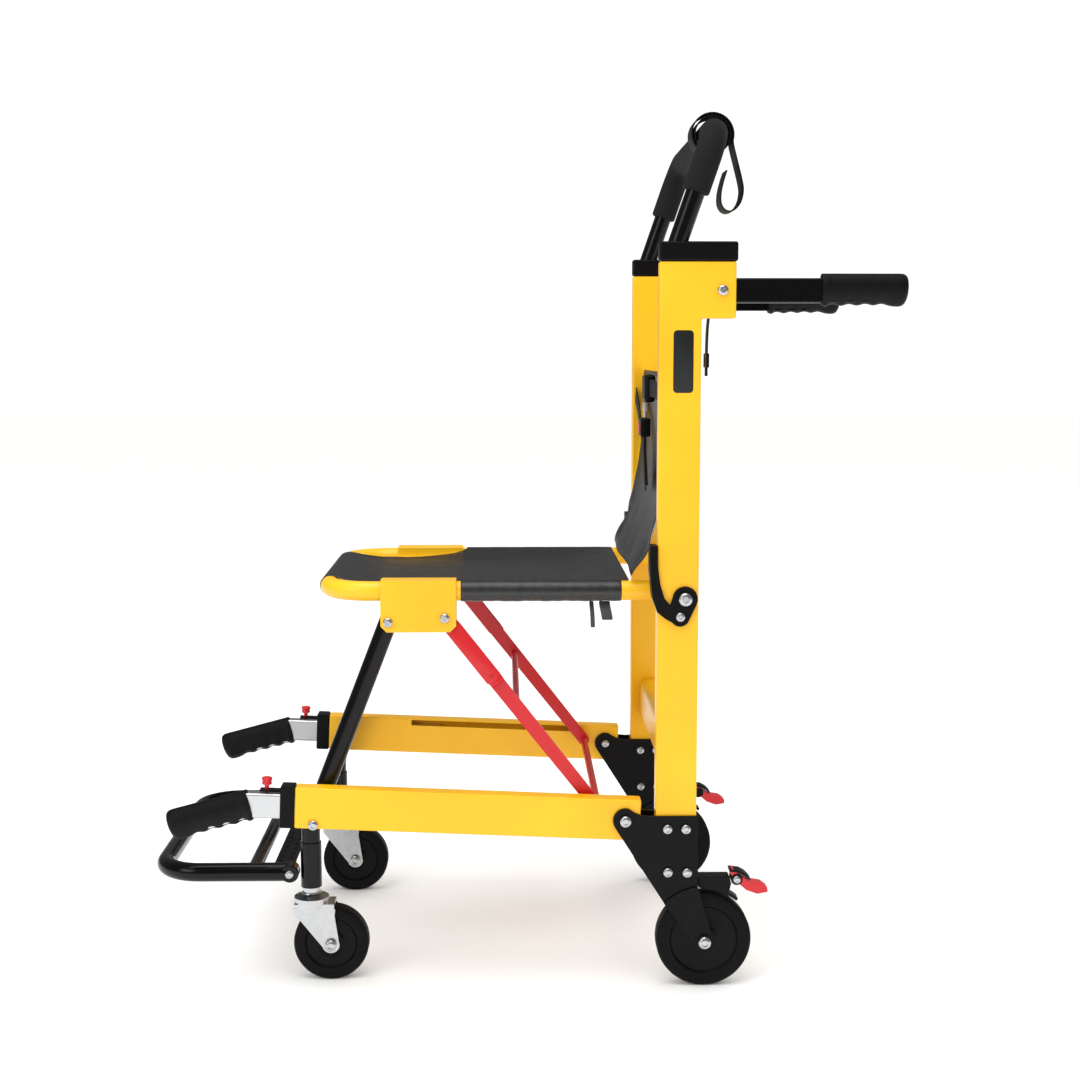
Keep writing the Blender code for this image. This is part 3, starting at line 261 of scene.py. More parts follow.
# ---- hinge plates and brake bars -----------------------------------------------------
# Laser-cut steel plate, sand-textured black powder coat: satin, with a pebbled skin
# about half a millimetre from bump to bump.
black_coat, shader = surface("powder_coated_steel_black", Base_Color=colour("#060607"), IOR=1.52,
                             Specular_IOR_Level=0.16)
place = node(black_coat, "ShaderNodeTexCoord").outputs["Object"]
pebble = node(black_coat, "ShaderNodeTexVoronoi", {"Scale": 1100.0}, {"Vector": place}, feature="SMOOTH_F1")
relief(black_coat, pebble.outputs["Distance"], 0.22, 0.0003)
patch = node(black_coat, "ShaderNodeTexNoise", {"Scale": 22.0, "Detail": 2.0}, {"Vector": place})
vary_sheen(black_coat, patch.outputs["Fac"], 0.36, 0.52)

for side, s in SIDES:
    smoothed(f"hinge_plate_outer_{side}", black_coat, 0.0005)
    smoothed(f"hinge_plate_inner_{side}", black_coat, 0.0005)
    smoothed(f"brake_housing_{side}", black_coat, 0.0006)

# ---- bolts ---------------------------------------------------------------------------
# Zinc-plated button-head screws with a hexagon socket: bright blue-white metal, a little
# cloudy from the plating bath.
zinc, shader = surface("zinc_plated_steel", Metallic=1.0)
place = node(zinc, "ShaderNodeTexCoord").outputs["Object"]
cloud = node(zinc, "ShaderNodeTexNoise", {"Scale": 90.0, "Detail": 4.0}, {"Vector": place})
ramp = node(zinc, "ShaderNodeValToRGB", None, {"Fac": cloud.outputs["Fac"]})
ramp.color_ramp.elements[0].color = colour("#B4B7BA")
ramp.color_ramp.elements[1].color = colour("#D4D6D8")
zinc.node_tree.links.new(ramp.outputs["Color"], shader.inputs["Base Color"])
vary_sheen(zinc, cloud.outputs["Fac"], 0.20, 0.38)


def choose(piece, test, kind="FACE"):
    """Goes into edit mode with only the faces or edges that pass the test selected."""
    alone(piece)
    bpy.ops.object.mode_set(mode="EDIT")
    bpy.ops.mesh.select_mode(type=kind)
    bpy.ops.mesh.select_all(action="DESELECT")
    bpy.ops.object.mode_set(mode="OBJECT")
    if kind == "FACE":
        for face in piece.data.polygons:
            face.select = test(face.center, face.normal)
    else:
        for edge in piece.data.edges:
            ends = [piece.data.vertices[i].co for i in edge.vertices]
            edge.select = test(*ends)
    bpy.ops.object.mode_set(mode="EDIT")


def done(piece):
    bpy.ops.object.mode_set(mode="OBJECT")
    alone(piece)


bpy.ops.object.select_all(action="DESELECT")
bpy.ops.mesh.primitive_cylinder_add(vertices=30, radius=1.0, depth=0.55, location=(0.0, 0.0, 0.275))
screw = bpy.context.object
bpy.ops.object.transform_apply(location=True, rotation=True, scale=True)
choose(screw, lambda at, facing: facing.z > 0.9)
bpy.ops.mesh.inset(thickness=0.16, depth=0.20)
bpy.ops.mesh.inset(thickness=0.22, depth=0.10)
bpy.ops.mesh.inset(thickness=0.10, depth=0.02)
bpy.ops.mesh.inset(thickness=0.02, depth=-0.25)
done(screw)
smooth_under(35)
screw_head = screw.data
bpy.data.objects.remove(screw)


def fasten(name, spots, size, body, facing=(0.0, 1.0, 0.0), sink=0.0, finish=zinc):
    """Copies of the screw head at some places, joined in one piece. Size is its radius."""
    turn = Vector(facing).to_track_quat("Z", "Y").to_matrix().to_4x4()
    made = []
    for spot in spots:
        one = into_scene(name, screw_head.copy())
        one.data.transform(Matrix.Translation(Vector(spot) - Vector(facing) * sink) @ turn
                           @ Matrix.Scale(size, 4))
        made.append(one)
    join_all(made)
    made[0].data.materials.clear()
    made[0].data.materials.append(finish)
    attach(made[0], body)
    return made[0]


for side, s in SIDES:
    out = (0.0, s, 0.0)
    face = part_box(f"hinge_plate_outer_{side}")[0 if s < 0 else 1].y
    spots = [(x, face - s * 0.0027, z) for x, z in
             ((0.1935, 0.2166), (0.2178, 0.2164), (0.1945, 0.1578), (0.2200, 0.1572))]
    fasten(f"plate_screws_{side}", spots, 0.0062, "frame", out)
    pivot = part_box(f"hinge_plate_inner_{side}")[0 if s < 0 else 1].y
    fasten(f"rail_pivot_screw_{side}", [(0.138, pivot - s * 0.0026, 0.2275)], 0.0074, "frame", out)
    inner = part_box(f"hinge_plate_inner_{side}")[1 if s < 0 else 0].y
    spots = [(x, inner + s * 0.0030, z) for x, z in
             ((0.1935, 0.2166), (0.2178, 0.2164), (0.1945, 0.1578), (0.2200, 0.1572), (0.138, 0.2275))]
    fasten(f"plate_nuts_{side}", spots, 0.0058, "frame", (0.0, -s, 0.0))
    smoothed(f"rear_axle_{side}", zinc, 0.0004)
    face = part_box(f"rear_axle_{side}")[0 if s < 0 else 1].y
    fasten(f"axle_screw_{side}", [(0.2435, face - s * 0.0020, 0.0635)], 0.0082, "frame", out)
    smoothed(f"rear_handle_pin_{side}", zinc)
    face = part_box(f"rear_handle_pin_{side}")[0 if s < 0 else 1].y
    fasten(f"handle_screw_{side}", [(0.2584, face - s * 0.0024, 0.9205)], 0.0066, "frame", out)
    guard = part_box(f"side_guard_{side}")[0 if s < 0 else 1].y
    fasten(f"guard_screw_{side}", [(0.214, guard - s * 0.0036, 0.523)], 0.0086, "frame", out)
    fasten(f"guard_screw_small_{side}", [(0.2078, guard - s * 0.0040, 0.4998)], 0.0058, "frame", out)
    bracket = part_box(f"seat_bracket_{side}")[0 if s < 0 else 1].y
    fasten(f"bracket_screws_{side}", [(x, bracket - s * 0.0020, z) for x, z in
                                      ((-0.1745, 0.4885), (-0.0997, 0.494))], 0.0062, "seat", out)
    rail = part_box(f"lower_rail_{side}")[0 if s < 0 else 1].y
    fasten(f"leg_bolt_{side}", [(-0.2735, rail - s * 0.0024, 0.2238)], 0.0065, "rails", out)

# ---- rear wheels and caster wheels ---------------------------------------------------
# A nylon disc with a solid rubber tyre bonded round it: the disc is dished on both faces
# inside a raised rim, and the tyre's edges are rounded.
tyre_rubber, shader = surface("moulded_tyre_rubber", Base_Color=colour("#08080A"), IOR=1.52,
                              Specular_IOR_Level=0.14)
place = node(tyre_rubber, "ShaderNodeTexCoord").outputs["Object"]
scuff = node(tyre_rubber, "ShaderNodeTexNoise", {"Scale": 260.0, "Detail": 5.0}, {"Vector": place})
relief(tyre_rubber, scuff.outputs["Fac"], 0.15, 0.0003)
vary_sheen(tyre_rubber, scuff.outputs["Fac"], 0.50, 0.72)


def turn_wheel(name, centre, radius, width, rim, body):
    bpy.ops.object.select_all(action="DESELECT")
    bpy.ops.mesh.primitive_cylinder_add(vertices=96, radius=radius, depth=width, location=centre,
                                        rotation=(math.radians(90), 0.0, 0.0))
    wheel = bpy.context.object
    wheel.name = name
    bpy.ops.object.transform_apply(location=True, rotation=True, scale=True)
    wheel.data.materials.append(tyre_rubber)
    wheel.data.materials.append(black_nylon)
    choose(wheel, lambda at, facing: abs(facing.y) > 0.9)
    bpy.ops.mesh.inset(thickness=radius - rim, depth=0.0)
    wheel.active_material_index = 1
    bpy.ops.object.material_slot_assign()
    bpy.ops.mesh.inset(thickness=0.0012, depth=0.0)
    bpy.ops.mesh.inset(thickness=0.0028, depth=-0.0032)
    bpy.ops.mesh.inset(thickness=(rim - 0.020) * 0.82, depth=0.0006)
    bpy.ops.mesh.inset(thickness=(rim - 0.020) * 0.12, depth=0.0014)
    bpy.ops.mesh.inset(thickness=0.0012, depth=0.0010)
    done(wheel)
    choose(wheel, lambda a, b: abs(math.hypot(a.x - centre[0], a.z - centre[2]) - radius) < 1e-5
           and abs(math.hypot(b.x - centre[0], b.z - centre[2]) - radius) < 1e-5
           and abs(a.y - b.y) < 1e-6, "EDGE")
    bpy.ops.mesh.bevel(offset=width * 0.20, segments=5, affect="EDGES")
    done(wheel)
    smooth_under(30)
    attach(wheel, body)
    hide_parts(name[:-len("_tyre")])
    return wheel


for side, s in SIDES:
    turn_wheel(f"rear_wheel_{side}_tyre", (0.2435, s * 0.217, 0.0635), 0.0635, 0.028, 0.0475,
               f"rear_wheel_{side}_body")
    turn_wheel(f"caster_wheel_{side}_tyre", (-0.2555, s * 0.1855, 0.0505), 0.0505, 0.026, 0.0370,
               f"caster_wheel_{side}_body")
    smoothed(f"caster_fork_{side}", zinc, 0.0004)
    for face, out in ((1, s), (0, -s)):
        y = s * 0.1855 + out * 0.0205
        fasten(f"caster_axle_{'out' if face else 'in'}_{side}", [(-0.2555, y - out * 0.0024, 0.0505)], 0.0076,
               f"caster_{side}", (0.0, out, 0.0))

# ---- lift handle ---------------------------------------------------------------------
# One steel tube bent to a hoop, stove-enamelled gloss black, standing in the post caps
# and leaning back; a black EVA foam sleeve is pushed over the top of it.
gloss_enamel, shader = surface("stove_enamel_black", Base_Color=colour("#040405"), IOR=1.52,
                               Specular_IOR_Level=0.25)
place = node(gloss_enamel, "ShaderNodeTexCoord").outputs["Object"]
flow = node(gloss_enamel, "ShaderNodeTexNoise", {"Scale": 120.0, "Detail": 1.0}, {"Vector": place})
relief(gloss_enamel, flow.outputs["Fac"], 0.05, 0.0005)
vary_sheen(gloss_enamel, flow.outputs["Fac"], 0.10, 0.22)


def bent_tube(name, corners, radius, bend, finish, sides=32):
    """A round tube, drawn straight by extrude and turned at each corner by spin."""
    corners = [Vector(c) for c in corners]
    heading = (corners[1] - corners[0]).normalized()
    bpy.ops.object.select_all(action="DESELECT")
    bpy.ops.mesh.primitive_circle_add(vertices=sides, radius=radius, location=corners[0],
                                      rotation=heading.to_track_quat("Z", "Y").to_euler())
    tube = bpy.context.object
    tube.name = name
    bpy.ops.object.transform_apply(location=True, rotation=True, scale=True)
    bpy.ops.object.mode_set(mode="EDIT")
    bpy.ops.mesh.select_mode(type="VERT")
    bpy.ops.mesh.select_all(action="SELECT")
    here = corners[0]
    for before, corner, after in zip(corners, corners[1:], corners[2:] + [None]):
        heading = (corner - before).normalized()
        if after is None:
            pull(corner - here)
            break
        leaving = (after - corner).normalized()
        angle = heading.angle(leaving)
        short = bend * math.tan(angle / 2)
        stop = corner - heading * short
        pull(stop - here)
        axis = heading.cross(leaving).normalized()
        bpy.ops.mesh.spin(steps=10, angle=-angle, center=stop + axis.cross(heading) * bend, axis=axis)
        here = corner + leaving * short
    bpy.ops.mesh.select_all(action="SELECT")
    bpy.ops.mesh.remove_doubles(threshold=0.00001)
    bpy.ops.mesh.fill_holes(sides=0)
    bpy.ops.mesh.normals_make_consistent(inside=False)
    bpy.ops.object.mode_set(mode="OBJECT")
    alone(tube)
    smooth_under(35)
    tube.data.materials.append(finish)
    return tube


lean = Vector((math.sin(math.radians(19.0)), 0.0, math.cos(math.radians(19.0))))
foot = Vector((0.202, 0.0, 0.9823))
crest = foot + lean * 0.150
side_y = Vector((0.0, 0.217, 0.0))
tube = bent_tube("lift_tube", [foot - side_y - lean * 0.004, crest - side_y, crest + side_y,
                               foot + side_y - lean * 0.004], 0.0125, 0.045, gloss_enamel)
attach(tube, "frame")
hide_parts("lift_handle")

# Closed-cell foam: dead matt charcoal with open bubbles about 0.7 mm across.
eva_foam, shader = surface("closed_cell_eva_foam", Base_Color=colour("#131314"), Roughness=0.85, IOR=1.48,
                           Specular_IOR_Level=0.30)
place = node(eva_foam, "ShaderNodeTexCoord").outputs["Object"]
cells = node(eva_foam, "ShaderNodeTexVoronoi", {"Scale": 1300.0}, {"Vector": place})
soft = node(eva_foam, "ShaderNodeTexNoise", {"Scale": 60.0, "Detail": 3.0}, {"Vector": place})
height = node(eva_foam, "ShaderNodeMath", {1: 2.0}, {0: soft.outputs["Fac"]}, operation="MULTIPLY")
height = node(eva_foam, "ShaderNodeMath", None, {0: height.outputs[0], 1: cells.outputs["Distance"]},
              operation="ADD")
relief(eva_foam, height.outputs[0], 0.35, 0.0004)

foam = bent_tube("lift_foam", [foot - side_y + lean * 0.066, crest - side_y, crest + side_y,
                               foot + side_y + lean * 0.066], 0.0178, 0.045, eva_foam, 40)
choose(foam, lambda a, b: max(abs(abs((p - foot).dot(lean)) - 0.066) for p in (a, b)) < 0.0002
       and abs(a.y) > 0.19, "EDGE")
bpy.ops.mesh.bevel(offset=0.0035, segments=4, affect="EDGES")
done(foam)
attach(foam, "frame")
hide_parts("lift_handle_foam")

# ---- rear carry handles --------------------------------------------------------------
# Flat-sided black tubes that swing down on the bracket pins, each pushed into a dipped
# PVC grip with finger hollows underneath and a flange at the inner end.
dipped_pvc, shader = surface("dipped_pvc_grip_black", Base_Color=colour("#080809"), IOR=1.53,
                             Specular_IOR_Level=0.18)
place = node(dipped_pvc, "ShaderNodeTexCoord").outputs["Object"]
skin = node(dipped_pvc, "ShaderNodeTexNoise", {"Scale": 420.0, "Detail": 4.0}, {"Vector": place})
relief(dipped_pvc, skin.outputs["Fac"], 0.22, 0.0004)
patch = node(dipped_pvc, "ShaderNodeTexNoise", {"Scale": 45.0, "Detail": 2.0}, {"Vector": place})
vary_sheen(dipped_pvc, patch.outputs["Fac"], 0.44, 0.62)

bpy.ops.object.select_all(action="DESELECT")
bpy.ops.mesh.primitive_cylinder_add(vertices=28, radius=1.0, depth=0.002, location=(0.001, 0.0, 0.0),
                                    rotation=(0.0, math.radians(90), 0.0))
grip = bpy.context.object
bpy.ops.object.transform_apply(location=True, rotation=True, scale=True)
bpy.ops.object.mode_set(mode="EDIT")
bpy.ops.mesh.select_all(action="SELECT")
bpy.ops.transform.resize(value=(1.0, 0.0150, 0.0205))
bpy.ops.object.mode_set(mode="OBJECT")
choose(grip, lambda at, facing: facing.x > 0.9)
# Each step along the grip: how far out, how far the underside is from the axis, half width.
reach, under, wide = 0.002, 0.0205, 0.0150
for to_reach, to_under, to_wide in (
        (0.0052, 0.0222, 0.0154), (0.0085, 0.0222, 0.0154), (0.0105, 0.0196, 0.0142),
        (0.0170, 0.0186, 0.0142), (0.0235, 0.0208, 0.0146), (0.0270, 0.0213, 0.0147),
        (0.0305, 0.0204, 0.0145), (0.0370, 0.0180, 0.0142), (0.0440, 0.0203, 0.0145),
        (0.0475, 0.0209, 0.0147), (0.0510, 0.0201, 0.0145), (0.0580, 0.0178, 0.0142),
        (0.0650, 0.0200, 0.0145), (0.0685, 0.0207, 0.0147), (0.0720, 0.0199, 0.0145),
        (0.0790, 0.0178, 0.0142), (0.0860, 0.0203, 0.0146), (0.0920, 0.0218, 0.0150),
        (0.1000, 0.0222, 0.0152), (0.1060, 0.0214, 0.0148), (0.1105, 0.0176, 0.0128),
        (0.1126, 0.0110, 0.0085)):
    pull((to_reach - reach, 0.0, (under - to_under) / 2))
    tall, to_tall = under + 0.0200, to_under + (0.0200 if to_reach < 0.105 else 0.0200 - (0.0214 - to_under))
    bpy.ops.transform.resize(value=(1.0, to_wide / wide, to_tall / tall))
    reach, under, wide = to_reach, to_under, to_wide
done(grip)
step = grip.modifiers.new("rounded", "SUBSURF")
step.levels = step.render_levels = 2
apply_all(grip)
bpy.ops.object.shade_smooth()
grip_shape = grip.data
bpy.data.objects.remove(grip)


def fit_grip(name, start, along, up, body, node_name):
    across = Vector(up).cross(Vector(along))
    turn = Matrix((Vector(along), across, Vector(up))).transposed().to_4x4()
    made = into_scene(name, grip_shape.copy())
    made.data.transform(Matrix.Translation(Vector(start)) @ turn)
    made.data.materials.append(dipped_pvc)
    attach(made, body)
    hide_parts(node_name)
    return made


for side, s in SIDES:
    smoothed(f"rear_handle_bar_{side}", gloss_enamel, 0.0022)
    fit_grip(f"rear_grip_{side}", (0.3857, s * 0.217, 0.9220), (1.0, 0.0, 0.0), (0.0, 0.0, 1.0),
             f"rear_handle_{side}", f"rear_handle_grip_{side}")

# ---- lower rails with their pull-out carry handles -----------------------------------
# Yellow coated box section with a slot in the inner wall; a bar of clear-anodised
# aluminium slides in each, bent down into a grip and held by a red pull pin.
for side, s in SIDES:
    smoothed(f"lower_rail_{side}", yellow_coat)

# Anodised extrusion: silver grey, satin, with fine die lines along the bar 0.4 mm apart.
anodised, shader = surface("clear_anodised_aluminium", Base_Color=colour("#D3D5D7"), Metallic=1.0)
place = node(anodised, "ShaderNodeTexCoord").outputs["Object"]
stretch = node(anodised, "ShaderNodeMapping", {"Scale": (0.04, 1.0, 1.0)}, {"Vector": place})
lines = node(anodised, "ShaderNodeTexNoise", {"Scale": 2500.0, "Detail": 2.0}, {"Vector": stretch.outputs[0]})
vary_sheen(anodised, lines.outputs["Fac"], 0.24, 0.42)
relief(anodised, lines.outputs["Fac"], 0.12, 0.0002)

# Red nylon for the pull pins, brake pedals and buckle button: bright, half gloss.
red_nylon, shader = surface("moulded_nylon_red", Base_Color=colour("#C8141F"), IOR=1.53)
place = node(red_nylon, "ShaderNodeTexCoord").outputs["Object"]
patch = node(red_nylon, "ShaderNodeTexNoise", {"Scale": 160.0, "Detail": 3.0}, {"Vector": place})
vary_sheen(red_nylon, patch.outputs["Fac"], 0.26, 0.44)
relief(red_nylon, patch.outputs["Fac"], 0.12, 0.0003)

slope = math.radians(2.5)
tilt = math.radians(-14.9)
rail_along = Vector((-math.cos(slope), 0.0, math.sin(slope)))
rail_up = Vector((math.sin(slope), 0.0, math.cos(slope)))
grip_along = Vector((-math.cos(tilt), 0.0, math.sin(tilt)))
grip_up = Vector((math.sin(tilt), 0.0, math.cos(tilt)))
for side, s in SIDES:
    smoothed(f"front_handle_bar_{side}", anodised, 0.0026)
    knee = Vector((0.138, s * 0.217, 0.2275)) + rail_along * 0.496
    fit_grip(f"front_grip_{side}", knee - grip_along * 0.0015, grip_along, grip_up,
             f"front_handle_{side}", f"front_handle_grip_{side}")

    # The pull pin: a waisted knob on a stem.
    base = Vector((0.138, s * 0.217, 0.2275)) + rail_along * 0.4745
    bpy.ops.object.select_all(action="DESELECT")
    bpy.ops.mesh.primitive_cylinder_add(vertices=32, radius=0.0030, depth=0.0100, location=(0.0, 0.0, 0.0222))
    knob = bpy.context.object
    knob.name = f"pull_pin_{side}"
    bpy.ops.object.transform_apply(location=True, rotation=True, scale=True)
    choose(knob, lambda at, facing: facing.z > 0.9)
    for height, size in ((0.0006, 2.05), (0.0016, 1.10), (0.0022, 0.84), (0.0018, 1.16), (0.0022, 1.10),
                         (0.0012, 0.94), (0.0006, 0.75)):
        pull((0.0, 0.0, height))
        bpy.ops.transform.resize(value=(size, size, 1.0))
    done(knob)
    round_off(knob, 0.0004)
    smooth_under(40)
    knob.data.transform(Matrix.Translation(base) @ rail_up.to_track_quat("Z", "Y").to_matrix().to_4x4())
    knob.data.materials.append(red_nylon)
    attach(knob, f"release_{side}")
    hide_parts(f"release_knob_{side}")

# ---- front legs and footrest ---------------------------------------------------------
# Gloss black bent tubes; each leg's foot is sleeved and carries a zinc-plated neck over
# the caster's ball race. The footrest is a bent hoop with a bar and a folded step plate.
for side, s in SIDES:
    head = Vector((-0.1745, s * 0.1855, 0.4885))
    knee = Vector((-0.282, s * 0.1855, 0.2112))
    crown = head - (knee - head).normalized() * 0.0105
    leg = bent_tube(f"leg_tube_{side}", [crown, knee, (-0.282, s * 0.1855, 0.130)], 0.0125, 0.060,
                    gloss_enamel)
    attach(leg, "legs")
    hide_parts(f"front_leg_{side}")
    bpy.ops.object.select_all(action="DESELECT")
    bpy.ops.mesh.primitive_cylinder_add(vertices=40, radius=0.0140, depth=0.0610,
                                        location=(-0.282, s * 0.1855, 0.1575))
    sleeve = bpy.context.object
    sleeve.name = f"leg_sleeve_{side}"
    bpy.ops.object.transform_apply(location=True, rotation=True, scale=True)
    choose(sleeve, lambda at, facing: facing.z > 0.9)
    bpy.ops.mesh.inset(thickness=0.0012, depth=0.0012)
    done(sleeve)
    smooth_under(35)
    sleeve.data.materials.append(gloss_enamel)
    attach(sleeve, "legs")
    # The neck: a plated collar that flares down to the race.
    bpy.ops.object.select_all(action="DESELECT")
    bpy.ops.mesh.primitive_cylinder_add(vertices=40, radius=0.0112, depth=0.0060,
                                        location=(-0.282, s * 0.1855, 0.1232))
    neck = bpy.context.object
    neck.name = f"caster_neck_{side}"
    bpy.ops.object.transform_apply(location=True, rotation=True, scale=True)
    choose(neck, lambda at, facing: facing.z < -0.9)
    for drop, size in ((0.0006, 1.12), (0.0014, 1.05), (0.0006, 0.90)):
        pull((0.0, 0.0, -drop))
        bpy.ops.transform.resize(value=(size, size, 1.0))
    done(neck)
    smooth_under(35)
    neck.data.materials.append(zinc)
    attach(neck, "legs")

hoop = bent_tube("footrest_hoop", [(-0.310, -0.1855, 0.1465), (-0.48644, -0.1855, 0.1465),
                                   (-0.48644, 0.1855, 0.1465), (-0.310, 0.1855, 0.1465)],
                 0.0125, 0.055, gloss_enamel)
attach(hoop, "footrest")
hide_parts("footrest_frame")
bar = bent_tube("footrest_bar", [(-0.360, -0.1770, 0.1475), (-0.360, 0.1770, 0.1475)], 0.0095, 0.02,
                gloss_enamel)
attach(bar, "footrest")
for side, s in SIDES:
    # The knuckle of the footrest's hinge, and its plated pin.
    ends = [(-0.310, s * 0.1740, 0.1465), (-0.310, s * 0.1970, 0.1465)]
    knuckle = bent_tube(f"footrest_knuckle_{side}", ends, 0.0120, 0.02, gloss_enamel)
    choose(knuckle, lambda a, b: abs(a.y - b.y) < 1e-6, "EDGE")
    bpy.ops.mesh.bevel(offset=0.0012, segments=3, affect="EDGES")
    done(knuckle)
    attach(knuckle, "footrest")
    fasten(f"footrest_pin_{side}", [(-0.310, s * 0.1965, 0.1465)], 0.0055, "footrest", (0.0, s, 0.0))
step_plate = smoothed("foot_tread", black_coat, 0.0008)
# Punched grip dimples along the step plate, 22 mm apart in two rows.
bpy.ops.object.select_all(action="DESELECT")
bpy.ops.mesh.primitive_cylinder_add(vertices=16, radius=0.0030, depth=0.0004, location=(0.0, 0.0, 0.0))
dimple = bpy.context.object
bpy.ops.object.transform_apply(location=True, rotation=True, scale=True)
choose(dimple, lambda at, facing: facing.z > 0.9)
bpy.ops.mesh.inset(thickness=0.0008, depth=0.0006)
bpy.ops.mesh.inset(thickness=0.0006, depth=-0.0004)
done(dimple)
rows = []
for i in range(15):
    for x, shift in ((-0.3265, 0.0), (-0.3135, 0.011)):
        y = -0.157 + 0.022 * i + shift
        if abs(y) < 0.166:
            one = into_scene("tread_dimples", dimple.data.copy())
            one.data.transform(Matrix.Translation((x, y, 0.1531)))
            rows.append(one)
bpy.data.objects.remove(dimple)
join_all(rows)
rows[0].data.materials.append(black_coat)
smooth_under(40)
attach(rows[0], "footrest")

# ---- seat frame and its brackets -----------------------------------------------------
# One yellow tube bent to a U, with folded brackets over it that hold the legs and link.
seat_tube = bent_tube("seat_tube", [(0.2255, -0.1855, 0.528), (-0.257, -0.1855, 0.528),
                                    (-0.257, 0.1855, 0.528), (0.2255, 0.1855, 0.528)],
                      0.0130, 0.060, yellow_coat)
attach(seat_tube, "seat")
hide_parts("seat_frame")
for side, s in SIDES:
    smoothed(f"seat_bracket_{side}", yellow_coat, 0.0006)

# ---- folding link --------------------------------------------------------------------
# Two red-enamelled steel strips a side, the upper lapped over the lower with a hooked
# stop lip and a rivet, joined by round bars; it holds the seat up off the rails.
red_enamel, shader = surface("powder_coated_steel_red", Base_Color=colour("#C5101A"), IOR=1.52)
place = node(red_enamel, "ShaderNodeTexCoord").outputs["Object"]
peel = node(red_enamel, "ShaderNodeTexNoise", {"Scale": 520.0, "Detail": 1.0}, {"Vector": place})
relief(red_enamel, peel.outputs["Fac"], 0.10, 0.0004)
cloud = node(red_enamel, "ShaderNodeTexNoise", {"Scale": 14.0, "Detail": 2.0}, {"Vector": place})
vary_sheen(red_enamel, cloud.outputs["Fac"], 0.22, 0.36)

smoothed("folding_link", red_enamel, 0.0005)
link_top = Vector((-0.0997, 0.0, 0.494))
link_way = (Vector((0.0920, 0.0, 0.2500)) - link_top).normalized()
link_square = Vector((-link_way.z, 0.0, link_way.x))
for side, s in SIDES:
    # The upper strip: a plate along the outside of the link, with its lip turned out.
    bpy.ops.object.select_all(action="DESELECT")
    bpy.ops.mesh.primitive_cube_add(size=1.0, location=(0.0, 0.0, 0.0))
    strip = bpy.context.object
    strip.name = f"link_upper_strip_{side}"
    bpy.ops.object.mode_set(mode="EDIT")
    bpy.ops.transform.resize(value=(0.088, 0.0018, 0.0225))
    bpy.ops.object.mode_set(mode="OBJECT")
    choose(strip, lambda at, facing: facing.x > 0.9)
    pull((0.0060, 0.0, -0.0015))
    bpy.ops.transform.resize(value=(1.0, 1.0, 0.82))
    pull((0.0022, s * 0.0012, 0.0))
    pull((0.0008, s * 0.0028, 0.0))
    done(strip)
    round_off(strip, 0.0005)
    smooth_under(35)
    turn = Matrix((link_way, Vector((0.0, 1.0, 0.0)), -link_square)).transposed().to_4x4()
    centre = link_top + link_way * 0.060 + Vector((0.0, s * 0.1971, 0.0))
    strip.data.transform(Matrix.Translation(centre) @ turn)
    strip.data.materials.append(red_enamel)
    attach(strip, "link")
    rivet = link_top + link_way * 0.0985 + Vector((0.0, s * 0.1958, 0.0))
    fasten(f"link_rivet_{side}", [rivet], 0.0040, "link", (0.0, s, 0.0), 0.0, red_enamel)

# ---- brake pedals --------------------------------------------------------------------
# A black lever on a cross pin over the wheel with a red moulded foot pad.
for side, s in SIDES:
    smoothed(f"brake_pedal_{side}", red_nylon)
    lever = bent_tube(f"brake_lever_{side}", [(0.2872, s * 0.2268, 0.1450), (0.2872, s * 0.2072, 0.1450)],
                      0.0078, 0.02, black_coat)
    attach(lever, f"brake_{side}")
    fasten(f"brake_screw_{side}", [(0.2872, s * 0.2266, 0.1450)], 0.0050, f"brake_{side}", (0.0, s, 0.0))
    bpy.ops.object.select_all(action="DESELECT")
    bpy.ops.mesh.primitive_cube_add(size=1.0, location=(0.0, 0.0, 0.0))
    arm = bpy.context.object
    arm.name = f"brake_arm_{side}"
    bpy.ops.object.mode_set(mode="EDIT")
    bpy.ops.transform.resize(value=(0.014, 0.0200, 0.0032))
    bpy.ops.object.mode_set(mode="OBJECT")
    choose(arm, lambda at, facing: facing.x > 0.9)
    pull((0.0080, 0.0, -0.0030))
    pull((0.0070, 0.0, -0.0052))
    done(arm)
    round_off(arm, 0.0007)
    smooth_under(40)
    lean_down = Matrix.Rotation(math.radians(8), 4, "Y")
    arm.data.transform(Matrix.Translation((0.2845, s * 0.217, 0.1560)) @ lean_down)
    arm.data.materials.append(black_coat)
    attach(arm, f"brake_{side}")

# ---- vinyl seat sling ----------------------------------------------------------------
# PVC-coated polyester, black, embossed with a fine hide grain: a sheet stretched from
# tube to tube, wrapped round the side and front tubes and double-stitched underneath.
vinyl, shader = surface("embossed_vinyl_black", Base_Color=colour("#101013"), IOR=1.5,
                        Specular_IOR_Level=0.85)
place = node(vinyl, "ShaderNodeTexCoord").outputs["Object"]
